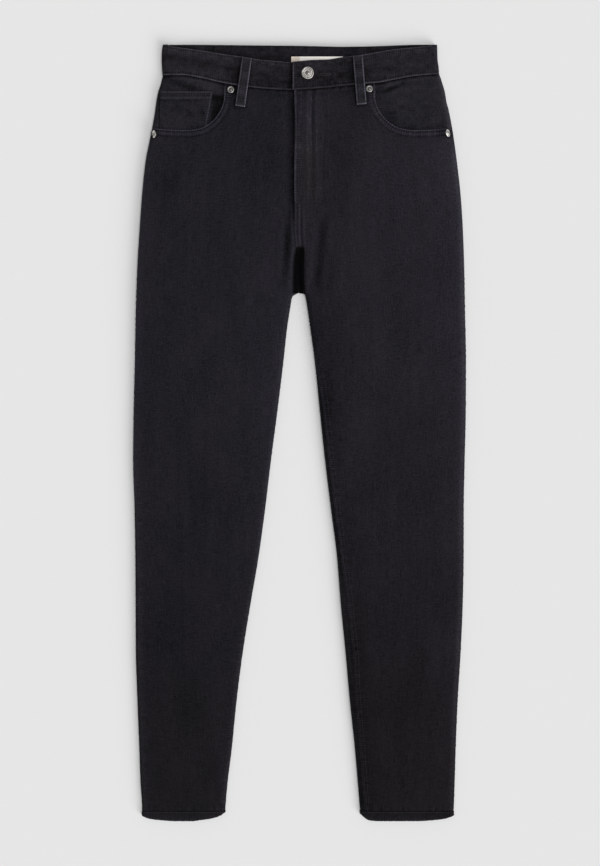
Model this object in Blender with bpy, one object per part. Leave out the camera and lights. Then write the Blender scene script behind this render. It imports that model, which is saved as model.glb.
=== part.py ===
"""High-waisted mom jeans in black stretch denim, laid flat on their back.

+Z up, floor at Z = 0, waist towards +Y, the wearer's left towards +X.
Everything below is in millimetres until the meshes are made.

The laid garment is a flattened tube: at each drop below the waist its section
is a flat top (fronts), a flat bottom (backs) and rounded folds at the edges.
A place on a panel is (round, drop): `round` is the distance round the section
from the outer fold's outermost line, over the top for the fronts and along the
floor for the backs.
"""

import math

import bmesh
import bpy
import numpy as np
from mathutils import Matrix

# ---------------------------------------------------------------- sizes (mm)
LENGTH = 1007.8        # back waist to the bottom of the hems
LOFT = 7.1             # height of the flattened tube, outside to outside
FOLD = 5.0             # how far a rounded fold reaches in from its edge
CLOTH = 1.6            # panel walls
FACING = 1.2           # pocket facings, coin pocket and fly shield
BAND = 1.8             # waistband, two plies
HEM = 2.3              # turned-up hem
GAP = 0.3              # between neighbouring pieces
LIFT = 1.8             # seat held off the floor by the back pockets and loops
RAMP = 27.0            # and how far from the side folds it comes down again
CROTCH = 322.0         # drop where the rise seams end and the legs part
HEM_TOP = 995.2        # drop of the hems' upper edge
POCKET_TOP = 61.6      # drop of the coin pocket's top edge
UNDERLAP = 22.0        # how far the band's right end runs on under the left
LAP_EDGE = -9.0        # X of the band's left end, which lies on top
LOOP_WIDTH = 12.6
LOOP_THICK = 1.5
BUTTON_DIA, BUTTON_HIGH = 16.6, 4.0
RIVET_DIA, RIVET_HIGH = 9.8, 1.5

# Outer folds: drop, distance from the centre line at the wearer's right, left
OUTER = (
    (40.0, 177.7, 182.2), (51.0, 180.3, 185.9), (61.4, 183.7, 188.9),
    (71.8, 185.8, 190.7), (92.6, 188.8, 195.5), (117.3, 193.4, 199.8),
    (155.0, 200.7, 205.0), (196.6, 204.9, 209.6), (238.2, 207.9, 212.3),
    (290.2, 211.0, 214.2), (344.8, 212.9, 215.2), (415.0, 214.2, 216.5),
    (477.4, 215.7, 216.2), (539.8, 216.5, 214.8), (602.2, 214.6, 213.6),
    (664.6, 213.6, 213.5), (727.0, 213.2, 212.3), (789.4, 212.9, 209.6),
    (851.8, 210.9, 205.8), (914.2, 208.5, 203.2), (961.0, 206.8, 201.8),
    (992.2, 204.8, 200.7), (1007.8, 205.3, 199.8),
)
# Inner folds of the legs: drop, right, left
INNER = (
    (324.0, 4.4, 6.0), (326.6, 8.7, 7.5), (331.8, 10.5, 8.5),
    (337.0, 11.3, 9.4), (368.2, 16.2, 13.9), (415.0, 21.4, 20.2),
    (477.4, 29.0, 26.5), (539.8, 37.1, 33.1), (602.2, 44.5, 40.7),
    (664.6, 53.0, 48.6), (727.0, 63.6, 53.6), (789.4, 73.6, 59.8),
    (851.8, 81.6, 65.3), (914.2, 87.9, 71.9), (961.0, 93.6, 75.9),
    (992.2, 96.3, 78.5), (1007.8, 97.6, 79.7),
)
# Seams: drop, how far onto the top face the side seam lies (right, left), and
# the inseam from the inner fold's edge (right, left), round the section
SEAMS = (
    (40.0, 0.0, 0.0, 0.0, 0.0), (345.0, 0.0, 0.0, 0.0, 0.0),
    (415.0, 0.0, 0.0, 0.0, 4.0), (473.0, 0.0, 0.0, 0.0, 7.8),
    (540.0, 2.5, 0.0, 0.6, 7.8), (600.0, 4.5, 0.0, 1.0, 7.8),
    (664.0, 4.5, 0.0, 1.0, 8.4), (727.0, 5.0, 0.0, 1.0, 11.4),
    (787.0, 5.0, 0.0, 1.0, 12.0), (855.0, 5.0, 0.0, 1.0, 10.4),
    (932.0, 4.5, 0.0, 1.0, 8.8), (1007.8, 4.5, 0.0, 1.0, 8.4),
)
# Centre front: drop, X of the fly's edge and of the rise seam under it, and
# how deep and how wide (half) the valley between the legs is there
RISE = (
    (40.0, -7.1, 0.0, 13.5), (209.0, -7.1, 0.0, 13.5),
    (239.5, -4.8, 0.0, 13.5), (262.0, -0.6, 0.5, 13.5),
    (285.0, 2.2, 2.4, 13.5), (305.0, 1.2, 3.6, 13.5),
    (322.0, 0.7, 3.6, 13.5), (324.0, 0.7, 3.6, 13.5),
)
# Waistband: X, drop of the front's top edge, of its seam, and of the back's
WAIST = (
    (-180.0, 0.8, 40.3, 0.3, 40.3), (-154.0, 4.8, 40.2, 1.0, 41.0),
    (-128.0, 8.5, 44.0, 1.6, 41.8), (-102.0, 12.8, 50.0, 1.9, 42.4),
    (-75.0, 16.6, 54.5, 2.2, 42.9), (-49.0, 20.6, 57.6, 2.5, 43.2),
    (-25.0, 22.6, 59.2, 2.7, 43.4), (-9.0, 23.5, 59.7, 2.8, 43.5),
    (13.0, 21.7, 58.6, 3.2, 43.5), (39.0, 20.2, 56.2, 3.8, 43.2),
    (56.0, 17.2, 54.3, 4.1, 42.9), (82.0, 13.8, 51.7, 3.8, 42.3),
    (102.0, 10.5, 50.2, 3.3, 41.8), (120.0, 7.4, 46.8, 2.6, 41.2),
    (150.0, 4.2, 41.4, 1.2, 39.8), (183.0, 0.8, 38.6, 0.0, 39.1),
)
# Waistband's ends of the flattened ring: drop, right, left
BAND_EDGE = (
    (0.0, 178.0, 179.0), (10.0, 179.1, 179.2), (20.0, 179.3, 179.6),
    (30.0, 178.9, 181.0), (45.0, 178.0, 182.2),
)
# Pocket mouth: share of the way from its inner end to the side fold, drop
MOUTH = (
    (0.0, 48.0), (0.01, 72.0), (0.10, 90.9), (0.21, 102.0),
    (0.36, 109.6), (0.55, 112.0), (0.78, 111.2), (1.0, 109.8),
)
MOUTH_START = 97.2     # distance of the mouth's inner end from the centre line
# Hem: share across the leg from the inner fold, drop right, drop left
HEM_EDGE = (
    (0.0, 996.6, 998.6), (0.09, 1002.2, 1006.6), (0.18, 1004.8, 1007.8),
    (0.30, 1006.5, 1007.8), (0.40, 1007.8, 1007.8), (0.60, 1007.8, 1007.8),
    (0.80, 1006.4, 1006.4), (0.90, 1005.0, 1004.8), (1.0, 1001.6, 1001.0),
)
# Largest folds beside the crotch: X and drop at both ends, half width, depth
CREASES = (
    (-16.5, 214.0, -21.5, 292.0, 13.0, 0.9),
    (30.0, 222.0, 20.5, 292.0, 13.0, 0.9),
)
SIDE = {"R": -1.0, "L": 1.0}
COLUMN = {"R": 1, "L": 2}

DENIM = dict(color=(0.020, 0.019, 0.024, 1.0), rough=0.92, metal=0.0)
TRIM = dict(color=(0.026, 0.025, 0.030, 1.0), rough=0.92, metal=0.0)
CREAM = dict(color=(0.63, 0.58, 0.53, 1.0), rough=0.8, metal=0.0)
METAL = dict(color=(0.42, 0.40, 0.38, 1.0), rough=0.35, metal=1.0)


# ------------------------------------------------------------ table look-ups
def look(table, column, at):
    """A table's column as a smooth monotone curve over its first column."""
    xs = np.array([row[0] for row in table])
    ys = np.array([row[column] for row in table])
    at = np.clip(np.asarray(at, float), xs[0], xs[-1])
    step = np.diff(xs)
    slope = np.diff(ys) / step
    tangent = np.concatenate([[slope[0]], np.zeros(len(xs) - 2), [slope[-1]]])
    for i in range(1, len(xs) - 1):
        if slope[i - 1] * slope[i] > 0:
            tangent[i] = 2 * slope[i - 1] * slope[i] / (slope[i - 1] + slope[i])
    i = np.clip(np.searchsorted(xs, at) - 1, 0, len(xs) - 2)
    t = (at - xs[i]) / step[i]
    return (
        ys[i] * (2 * t**3 - 3 * t**2 + 1)
        + step[i] * tangent[i] * (t**3 - 2 * t**2 + t)
        + ys[i + 1] * (3 * t**2 - 2 * t**3)
        + step[i] * tangent[i + 1] * (t**3 - t**2)
    )


def ease(value):
    value = np.clip(value, 0.0, 1.0)
    return value * value * (3 - 2 * value)


QUARTER = 0.5 * math.pi * math.sqrt((FOLD**2 + (LOFT / 2) ** 2) / 2)


def outer(side, drop):
    return look(OUTER, COLUMN[side], drop)


def inner(side, drop):
    return look(INNER, COLUMN[side], drop)


def side_seam(side, drop):
    return look(SEAMS, 1 if side == "R" else 2, drop)


def inseam(side, drop):
    return look(SEAMS, 3 if side == "R" else 4, drop)


def front_seam(x):
    return look(WAIST, 2, x)


def back_seam(x):
    return look(WAIST, 4, x)


def is_leg(drop):
    return np.asarray(drop) > CROTCH + 1.0


# -------------------------------------------------------- the laid surfaces
def top_height(x, drop):
    """Height of the fronts' outer face at X = x."""
    depth = look(RISE, 2, drop)
    half = look(RISE, 3, drop)
    off = np.abs(x - look(RISE, 1, drop)) / half
    z = LOFT + floor_height(x, drop) - depth * (1 - ease(off)) * (1 - ease((drop - CROTCH) / 4.0))
    for x0, d0, x1, d1, width, deep in CREASES:
        along = np.clip((drop - d0) / (d1 - d0), 0, 1)
        across = np.abs(x - (x0 + (x1 - x0) * along)) / width
        z = z - deep * (1 - ease(across)) * np.sin(math.pi * along) ** 2
    return z


def floor_height(x, drop):
    """Height of the backs' outer face: the seat rests on pockets and loops."""
    edge = np.where(np.asarray(x) < 0, outer("R", drop), outer("L", drop)) - FOLD
    return (
        LIFT
        * (1 - ease((np.abs(x) - (edge - RAMP)) / RAMP))
        * (1 - ease((drop - 256.0) / 38.0))
    )


def wrap(side, around, drop, under):
    """Point and outward direction on the tube, `around` mm from its outer
    edge, over the top, or under it when `under` is set."""
    sign = -1.0 if under else 1.0
    drop = float(drop)
    edge = float(outer(side, drop))
    centre = edge - FOLD
    high = LOFT / 2
    leg = bool(is_leg(drop))
    if leg:
        near = float(inner(side, drop)) + FOLD
        flat = centre - near
    else:
        near, flat = -1e9, 1e9
    if around <= QUARTER:
        turn = around / QUARTER * math.pi / 2
        off, up = FOLD * math.cos(turn), high * math.sin(turn) * sign
        normal = (math.cos(turn) / FOLD, math.sin(turn) * sign / high)
        x, z = centre + off, high + up
    elif around <= QUARTER + flat:
        x = centre - (around - QUARTER)
        world = SIDE[side] * x
        z = float(floor_height(world, drop)) if under else float(top_height(world, drop))
        normal = (0.0, sign)
    else:
        turn = (around - QUARTER - flat) / QUARTER * math.pi / 2
        if turn <= math.pi:
            off, up = FOLD * math.sin(turn), high * math.cos(turn) * sign
            normal = (-math.sin(turn) / FOLD, math.cos(turn) * sign / high)
            x, z = near - off, high + up
        else:
            x = near + (turn - math.pi) / (math.pi / 2) * QUARTER
            z = LOFT if under else 0.0
            normal = (0.0, -sign)
    size = math.hypot(*normal)
    return (
        np.array([SIDE[side] * x, LENGTH / 2 - drop, z]),
        np.array([SIDE[side] * normal[0] / size, 0.0, normal[1] / size]),
    )


def around_of(side, x, drop):
    """Distance round to the point of the flat top or bottom at |X| = x."""
    return QUARTER + float(outer(side, drop)) - FOLD - x


def inner_edge(side, drop):
    """Distance round to the inner fold's outermost line."""
    return 2 * QUARTER + float(outer(side, drop)) - float(inner(side, drop)) - 2 * FOLD


# ------------------------------------------------------------- mesh building
def material(name, color, rough, metal):
    made = bpy.data.materials.get(name)
    if made is None:
        made = bpy.data.materials.new(name)
        made.use_nodes = True
        shader = made.node_tree.nodes["Principled BSDF"]
        shader.inputs["Base Color"].default_value = color
        shader.inputs["Roughness"].default_value = rough
        shader.inputs["Metallic"].default_value = metal
        made.diffuse_color = color
    return made


def finish(name, mesh_data, look_of, slot, smooth=30.0):
    """Object of a bmesh in millimetres, facing out, shaded smooth."""
    bmesh.ops.recalc_face_normals(mesh_data, faces=mesh_data.faces[:])
    if mesh_data.calc_volume(signed=True) < 0:
        bmesh.ops.reverse_faces(mesh_data, faces=mesh_data.faces[:])
    bmesh.ops.scale(mesh_data, vec=(0.001,) * 3, verts=mesh_data.verts[:])
    mesh = bpy.data.meshes.new(name)
    mesh_data.to_mesh(mesh)
    mesh_data.free()
    mesh.shade_smooth()
    mesh.set_sharp_from_angle(angle=math.radians(smooth))
    made = bpy.data.objects.new(name, mesh)
    mesh.materials.append(material(slot, **look_of))
    bpy.context.scene.collection.objects.link(made)
    made.parent = bpy.data.objects["jeans"]
    return made


def wall(name, outside, inside, look_of=DENIM, slot="denim", ring=False):
    """A cloth wall between two grids of points, closed round its edges."""
    rows, cols = len(outside), len(outside[0])
    mesh_data = bmesh.new()
    out = [[mesh_data.verts.new(p) for p in row] for row in outside]
    into = [[mesh_data.verts.new(p) for p in row] for row in inside]
    wide = cols if ring else cols - 1
    for i in range(rows - 1):
        for j in range(wide):
            k = (j + 1) % cols
            mesh_data.faces.new((out[i][j], out[i][k], out[i + 1][k], out[i + 1][j]))
            mesh_data.faces.new((into[i][j], into[i + 1][j], into[i + 1][k], into[i][k]))
    for j in range(wide):
        k = (j + 1) % cols
        mesh_data.faces.new((out[0][j], into[0][j], into[0][k], out[0][k]))
        mesh_data.faces.new((out[-1][j], out[-1][k], into[-1][k], into[-1][j]))
    if not ring:
        for i in range(rows - 1):
            mesh_data.faces.new((out[i][0], out[i + 1][0], into[i + 1][0], into[i][0]))
            mesh_data.faces.new((out[i][-1], into[i][-1], into[i + 1][-1], out[i + 1][-1]))
    return finish(name, mesh_data, look_of, slot)


def lay(side, places, under, inset, thick):
    """Grids of outer and inner points for rows of (round, drop) places."""
    outside, inside = [], []
    for row in places:
        line = [wrap(side, around, drop, under) for around, drop in row]
        outside.append([p - n * inset for p, n in line])
        inside.append([p - n * (inset + thick) for p, n in line])
    return outside, inside


def spread(start, end, steps):
    return [start + (end - start) * i / steps for i in range(steps + 1)]


# -------------------------------------------------------------- front panels
FOLD_STEPS, FLAT_STEPS, INNER_STEPS = 3, 8, 3
MOUTH_STEPS = 5        # of FLAT_STEPS, how many follow the pocket mouth


def front_row(side, drop):
    """(round, drop) places of a front panel's plain row."""
    start = float(side_seam(side, drop)) + GAP / 2
    if is_leg(drop):
        end = inner_edge(side, drop) - float(inseam(side, drop)) - GAP / 2
        pin = min(inner_edge(side, drop) - QUARTER, end - 2.0 * INNER_STEPS)
    else:
        centre = SIDE[side] * float(look(RISE, 1, drop))
        end = around_of(side, centre + GAP / 2, drop)
        pin = around_of(side, centre + float(look(RISE, 3, drop)), drop)
    bend = max(QUARTER, start + 2.0)
    places = spread(start, bend, FOLD_STEPS)
    places += spread(bend, pin, FLAT_STEPS)[1:]
    places += spread(pin, end, INNER_STEPS)[1:]
    return [(around, drop) for around in places]


def mouth_point(side, share):
    """|X| and drop on the pocket mouth's edge."""
    drop = float(look(MOUTH, 1, share))
    far = float(outer(side, drop)) - FOLD
    return MOUTH_START + share * (far - MOUTH_START), drop


def mouth_drop(side, x):
    """Drop of the mouth's edge at |X| = x."""
    far = float(outer(side, 110.0)) - FOLD
    return float(look(MOUTH, 1, (x - MOUTH_START) / (far - MOUTH_START)))


def mouth_path(side, steps):
    """Even steps along the mouth from the side fold to the waist seam."""
    line = [mouth_point(side, s) for s in np.linspace(1.0, 0.0, 101)]
    seam = float(front_seam(SIDE[side] * MOUTH_START)) + GAP / 2
    line = [p for p in line if p[1] > seam] + [(MOUTH_START, seam)]
    run = [0.0]
    for a, b in zip(line, line[1:]):
        run.append(run[-1] + math.dist(a, b))
    at = np.linspace(0, run[-1], steps + 1)
    xs = np.interp(at, run, [p[0] for p in line])
    ds = np.interp(at, run, [p[1] for p in line])
    return [(around_of(side, x, d), float(d)) for x, d in zip(xs, ds)]


def front_top_row(side):
    """Side fold, along the pocket mouth, then the waist seam to the centre."""
    end_drop = mouth_point(side, 1.0)[1]
    row = [(a, end_drop) for a in spread(GAP / 2, QUARTER, FOLD_STEPS)]
    row += mouth_path(side, MOUTH_STEPS)[1:]
    centre = SIDE[side] * float(look(RISE, 1, 50.0))
    pin = centre + float(look(RISE, 3, 50.0))
    xs = spread(MOUTH_START, pin, FLAT_STEPS - MOUTH_STEPS)[1:]
    xs += spread(pin, centre + GAP / 2, INNER_STEPS)[1:]
    for x in xs:
        drop = float(front_seam(SIDE[side] * x)) + GAP
        row.append((around_of(side, x, drop), drop))
    return row


FRONT_DROPS = (
    150.0, 180.0, 209.0, 240.0, 262.0, 278.0, 292.0, 307.0, 322.0, 324.0,
    326.6, 331.8, 345.0, 370.0, 415.0, 473.0, 540.0, 600.0, 664.0, 727.0,
    789.0, 855.0, 925.0, HEM_TOP - GAP / 2,
)


def front_panel(side):
    top = front_top_row(side)
    full = front_row(side, FRONT_DROPS[0])
    rows = [top]
    for share in (0.35, 0.7):
        rows.append(
            [
                (a + (c - a) * share, b + (d - b) * share)
                for (a, b), (c, d) in zip(top, full)
            ]
        )
    rows += [front_row(side, drop) for drop in FRONT_DROPS]
    wall(f"front_panel_{side}", *lay(side, rows, False, 0.0, CLOTH))


# --------------------------------------------------- backs, yokes and pockets
BACK_FOLD, BACK_FLAT, BACK_INNER = 2, 6, 5
YOKE_SIDE, YOKE_CENTRE = 78.0, 106.0    # drop of the yoke seam


def yoke_seam(x):
    return YOKE_CENTRE + (YOKE_SIDE - YOKE_CENTRE) * min(abs(x) / 185.0, 1.0)


def back_row(side, drop_of, flat_steps, inner_steps):
    """(round, drop) places of a back row, whose drop may change with |X|."""
    guess = drop_of(100.0)
    start = -float(side_seam(side, guess)) + GAP / 2
    places = spread(start, QUARTER, BACK_FOLD)
    if is_leg(guess):
        end = inner_edge(side, guess) + float(inseam(side, guess)) - GAP / 2
        pin = inner_edge(side, guess) - QUARTER
    else:
        end = around_of(side, GAP / 2, guess)
        pin = around_of(side, 13.5, guess)
    places += spread(QUARTER, pin, flat_steps)[1:]
    places += spread(pin, end, inner_steps)[1:]
    row = []
    for around in places:
        x = float(outer(side, guess)) - FOLD - (around - QUARTER)
        row.append((around, drop_of(x) if not is_leg(guess) else guess))
    return row


def slanted(side, drop_of, flat_steps, inner_steps):
    """A row along a slanted seam: its ends meet the fold and the centre."""
    row = []
    for around, _ in back_row(side, lambda x: drop_of(100.0), flat_steps, inner_steps):
        x = float(outer(side, drop_of(100.0))) - FOLD - (around - QUARTER)
        drop = drop_of(min(x, 183.0))
        if around > QUARTER:
            row.append((around_of(side, x, drop), drop))
        else:
            row.append((around, drop))
    last = drop_of(0.0)
    row[-1] = (around_of(side, GAP / 2, last), last)
    return row


BACK_DROPS = (
    140.0, 180.0, 220.0, 256.0, 275.0, 294.0, 310.0, 322.0, 324.0, 326.6,
    331.8, 345.0, 370.0, 415.0, 473.0, 540.0, 600.0, 664.0, 727.0, 789.0,
    855.0, 925.0, HEM_TOP - GAP / 2,
)


def back_panel(side):
    rows = [slanted(side, lambda x: yoke_seam(x) + GAP / 2, BACK_FLAT, BACK_INNER)]
    rows += [
        back_row(side, lambda x, d=drop: d, BACK_FLAT, BACK_INNER)
        for drop in BACK_DROPS
    ]
    wall(f"back_panel_{side}", *lay(side, rows, True, 0.0, CLOTH))


def yoke(side):
    high = lambda x: float(back_seam(SIDE[side] * x)) + GAP / 2
    low = lambda x: yoke_seam(x) - GAP / 2
    rows = []
    for share in (0.0, 0.5, 1.0):
        rows.append(
            slanted(side, lambda x, s=share: high(x) + (low(x) - high(x)) * s, BACK_FLAT, 1)
        )
    wall(f"yoke_{side}", *lay(side, rows, True, 0.0, CLOTH))


def patch(name, corners, low, high, look_of=TRIM, slot="denim_trim"):
    """A flat piece between two heights, from its corners (X, drop)."""
    mesh_data = bmesh.new()
    floor = [mesh_data.verts.new((x, LENGTH / 2 - d, low)) for x, d in corners]
    base = mesh_data.faces.new(floor)
    lifted = bmesh.ops.extrude_face_region(mesh_data, geom=[base])["geom"]
    risen = [v for v in lifted if isinstance(v, bmesh.types.BMVert)]
    bmesh.ops.translate(mesh_data, vec=(0, 0, high - low), verts=risen)
    finish(name, mesh_data, look_of, slot)


def back_pocket(side):
    """Five-sided patch under the seat: it is what the seat rests on."""
    s = SIDE[side]
    outline = ((28.0, 118.0), (158.0, 108.0), (152.0, 222.0), (98.0, 248.0), (38.0, 230.0))
    patch(f"back_pocket_{side}", [(s * x, d) for x, d in outline], 0.0, LIFT - GAP)


# ------------------------------------------------- pocket facings, coin pocket
FACING_COLUMNS = (165.0, 150.0, 135.0, 124.0, None, 104.0, 94.0, 86.0)
COIN_COLUMN = 7        # which column of the facing the coin pocket ends at
DIP = CLOTH + GAP      # the facing passes under the front panel


def facing_places(side):
    """Columns of (round, drop) for a facing, from the side seam inwards."""
    columns = []
    for around in spread(GAP / 2, QUARTER, 2):
        columns.append([around, "fold"])
    columns.append([QUARTER + 11.0, "fold"])
    for x in FACING_COLUMNS:
        columns.append([x, "flat"])
    grid = []
    for place, zone in columns:
        if zone == "fold":
            x = float(outer(side, 80.0)) - FOLD - max(place - QUARTER, 0.0)
            low = mouth_drop(side, x) - (5 * GAP if place > QUARTER else 3 * GAP)
        else:
            x = place if place else 114.0
            low = 125.0
        # a little lower than the seam, which bends between the columns
        seam = float(front_seam(SIDE[side] * min(x, 178.0))) + GAP / 2 + 0.5
        drops = [seam] + spread(POCKET_TOP, low, 5)
        line = []
        for drop in drops:
            at = place
            if zone == "flat":
                near = place if place else 112.7 + 0.19 * (drop - 62.0)
                at = around_of(side, near, drop)
            line.append((at, drop))
        grid.append(line)
    return [list(row) for row in zip(*grid)]


def facing_dip(side, around, drop):
    """How far a facing lies below the garment's face near and under the mouth."""
    x = float(outer(side, drop)) - FOLD - (around - QUARTER)
    if around <= QUARTER:
        return 0.0
    line = [mouth_point(side, s) for s in np.linspace(0, 1, 41)]
    away = min(math.dist((x, drop), p) for p in line)
    if x < MOUTH_START or drop > mouth_drop(side, x):
        away = 0.0
    return DIP * float(ease((around - QUARTER) / 10.0)) * (1 - float(ease((away - 9.0) / 20.0)))


def facing_grids(side, inset, thick, rows=slice(None), cols=slice(None), up=0.0):
    outside, inside = [], []
    for row in facing_places(side)[rows]:
        over, below = [], []
        for around, drop in row[cols]:
            p, n = wrap(side, around, drop, False)
            sunk = inset + facing_dip(side, around, drop) - up
            over.append(p - n * sunk)
            below.append(p - n * (sunk + thick))
        outside.append(over)
        inside.append(below)
    return outside, inside


COIN_STEP = FACING + GAP


def pocket_facing(side):
    inset = COIN_STEP if side == "R" else 0.0
    wall(
        f"pocket_facing_{side}",
        *facing_grids(side, inset, FACING), TRIM, "denim_trim",
    )


def coin_pocket():
    """Patch on the right facing, made from the facing's own places."""
    grids = facing_grids(
        "R", 0.0, FACING, rows=slice(1, 6), cols=slice(0, COIN_COLUMN + 1)
    )
    wall("coin_pocket", *grids, TRIM, "denim_trim")


def fly_shield():
    """Strip behind the fly's edge, with a rounded lower corner."""
    rows = []
    for drop, far in ((60.4, 34.0), (110.0, 34.0), (170.0, 34.0), (196.0, 31.0),
                      (210.0, 22.0), (217.0, 10.0)):
        rows.append([(x, drop) for x in spread(-12.0, far, 3)])
    outside = [[(x, LENGTH / 2 - d, float(top_height(x, d)) - CLOTH - GAP) for x, d in row] for row in rows]
    inside = [[(x, y, z - FACING) for x, y, z in row] for row in outside]
    wall("fly_shield", outside, inside, TRIM, "denim_trim")


# ------------------------------------------------------------------ waistband
def band_top(x, left):
    """Height of the band's outer face on the front, where its ends lap."""
    plain = LOFT + float(floor_height(x, 40.0))
    if left:
        return plain + 0.9 * (1 - float(ease((x - 26.0) / 26.0)))
    return plain - 1.2 * float(ease((x + 36.0) / 20.0))


def waistband():
    """One strip: left end on top, round the back, right end underneath."""
    columns = []          # outer point and outward direction at a share down

    def front(x, left):
        def at(share):
            top, low = float(look(WAIST, 1, x)), float(front_seam(x)) - GAP / 2
            drop = top + (low - top) * share
            return np.array([x, LENGTH / 2 - drop, band_top(x, left)]), np.array([0, 0, 1.0])
        return at

    def back(x):
        def at(share):
            top, low = float(look(WAIST, 3, x)), float(back_seam(x)) - GAP / 2
            drop = top + (low - top) * share
            return (
                np.array([x, LENGTH / 2 - drop, float(floor_height(x, 40.0))]),
                np.array([0, 0, -1.0]),
            )
        return at

    def fold(side, turn):
        def at(share):
            s = SIDE[side]
            mix = (1 - math.sin(turn)) / 2
            top = float(look(WAIST, 1, s * 178)) * (1 - mix) + float(look(WAIST, 3, s * 178)) * mix
            low = float(front_seam(s * 178)) - GAP / 2
            drop = top + (low - top) * share
            edge = float(look(BAND_EDGE, COLUMN[side], drop))
            high = LOFT / 2
            n = np.array([math.cos(turn) / FOLD, 0, math.sin(turn) / high])
            n /= np.linalg.norm(n)
            p = (s * (edge - FOLD + FOLD * math.cos(turn)), LENGTH / 2 - drop, high + high * math.sin(turn))
            return np.array(p), n * (s, 1, 1)
        return at

    reach = {side: float(look(BAND_EDGE, COLUMN[side], 20.0)) - FOLD for side in SIDE}
    for x in (LAP_EDGE, 2.0, 13.0, 26.0, 39.0, 52.0, 76.0, 100.0, 125.0, 148.0, 162.0):
        columns.append(front(x, True))
    for turn in (90, 50, 0, -50, -90):
        columns.append(fold("L", math.radians(turn)))
    for x in (162.0, 148.0, 120.0, 82.0, 41.0, 0.0, -41.0, -82.0, -120.0, -144.0, -159.0):
        columns.append(back(x))
    for turn in (-90, -50, 0, 50, 90):
        columns.append(fold("R", math.radians(turn)))
    for x in (-159.0, -144.0, -125.0, -100.0, -76.0, -50.0, -36.0, -16.0, 5.0, UNDERLAP):
        columns.append(front(x, False))
    outside, inside = [], []
    for share in (0.0, 0.33, 0.67, 1.0):
        line = [column(share) for column in columns]
        outside.append([p for p, n in line])
        inside.append([p - n * BAND for p, n in line])
    wall("waistband", outside, inside)


# ------------------------------------------------------------ loops and label
def front_loop(side, top, bottom):
    """Loop over the band, from (X, drop) to (X, drop), arched in between."""
    outside, inside = [], []
    for share in spread(0.0, 1.0, 6):
        x = top[0] + (bottom[0] - top[0]) * share
        drop = top[1] + (bottom[1] - top[1]) * share
        z = LOFT + LIFT + GAP + 0.7 * math.sin(math.pi * share) ** 2
        half = LOOP_WIDTH / 2
        outside.append([(x + w, LENGTH / 2 - drop, z + LOOP_THICK) for w in (-half, half)])
        inside.append([(x + w, LENGTH / 2 - drop, z) for w in (-half, half)])
    wall(f"belt_loop_front_{side}", outside, inside, TRIM, "denim_trim")


def back_loop(name, x):
    """Plain loop under the back of the band."""
    half = LOOP_WIDTH / 2
    corners = ((x - half, 2.0), (x + half, 2.0), (x + half, 66.0), (x - half, 66.0))
    patch(f"belt_loop_back_{name}", corners, 0.0, LIFT - GAP)


def label():
    low = LIFT + BAND + GAP
    corners = ((-10.7, 15.9), (56.3, 15.9), (56.3, 39.0), (-10.7, 39.0))
    patch("label", corners, low, low + 0.5, CREAM, "label")


# ----------------------------------------------------------------------- hems
def hem(side):
    """Turned-up hem: a ring round the flattened leg."""
    ring = []
    total = inner_edge(side, HEM_TOP)
    for around in spread(0.0, QUARTER, 3):
        ring.append((around, False))
    for around in spread(QUARTER, total - QUARTER, 8)[1:]:
        ring.append((around, False))
    for around in spread(total - QUARTER, total, 3)[1:]:
        ring.append((around, False))
    for around in spread(total, total - QUARTER, 3)[1:]:
        ring.append((around, True))
    for around in spread(total - QUARTER, QUARTER, 8)[1:]:
        ring.append((around, True))
    for around in spread(QUARTER, 0.0, 3)[1:-1]:
        ring.append((around, True))
    outside, inside = [], []
    for share in (0.0, 0.5, 1.0):
        over, below = [], []
        for around, under in ring:
            start = HEM_TOP + GAP / 2
            p, n = wrap(side, around, start, under)
            across = (abs(p[0]) - float(inner(side, start))) / (
                float(outer(side, start)) - float(inner(side, start))
            )
            low = float(look(HEM_EDGE, COLUMN[side], across))
            drop = start + (low - start) * share
            p = np.array([p[0], LENGTH / 2 - drop, p[2]])
            over.append(p)
            below.append(p - n * HEM)
        outside.append(over)
        inside.append(below)
    wall(f"hem_{side}", outside, inside, ring=True)


# ------------------------------------------------------------------- hardware
def turned(name, profile, at, tilt, slot="metal"):
    """A turned piece from (radius, height) rows, spun and then placed."""
    mesh_data = bmesh.new()
    line = [mesh_data.verts.new((r, 0, z)) for r, z in profile]
    edges = [mesh_data.edges.new(pair) for pair in zip(line, line[1:])]
    bmesh.ops.spin(
        mesh_data, geom=line + edges, cent=(0, 0, 0), axis=(0, 0, 1),
        angle=2 * math.pi, steps=16, use_merge=True,
    )
    bmesh.ops.remove_doubles(mesh_data, verts=mesh_data.verts[:], dist=0.01)
    place = Matrix.Translation(at) @ Matrix.Rotation(tilt, 4, "Y")
    bmesh.ops.transform(mesh_data, matrix=place, verts=mesh_data.verts[:])
    finish(name, mesh_data, METAL, slot)


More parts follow.
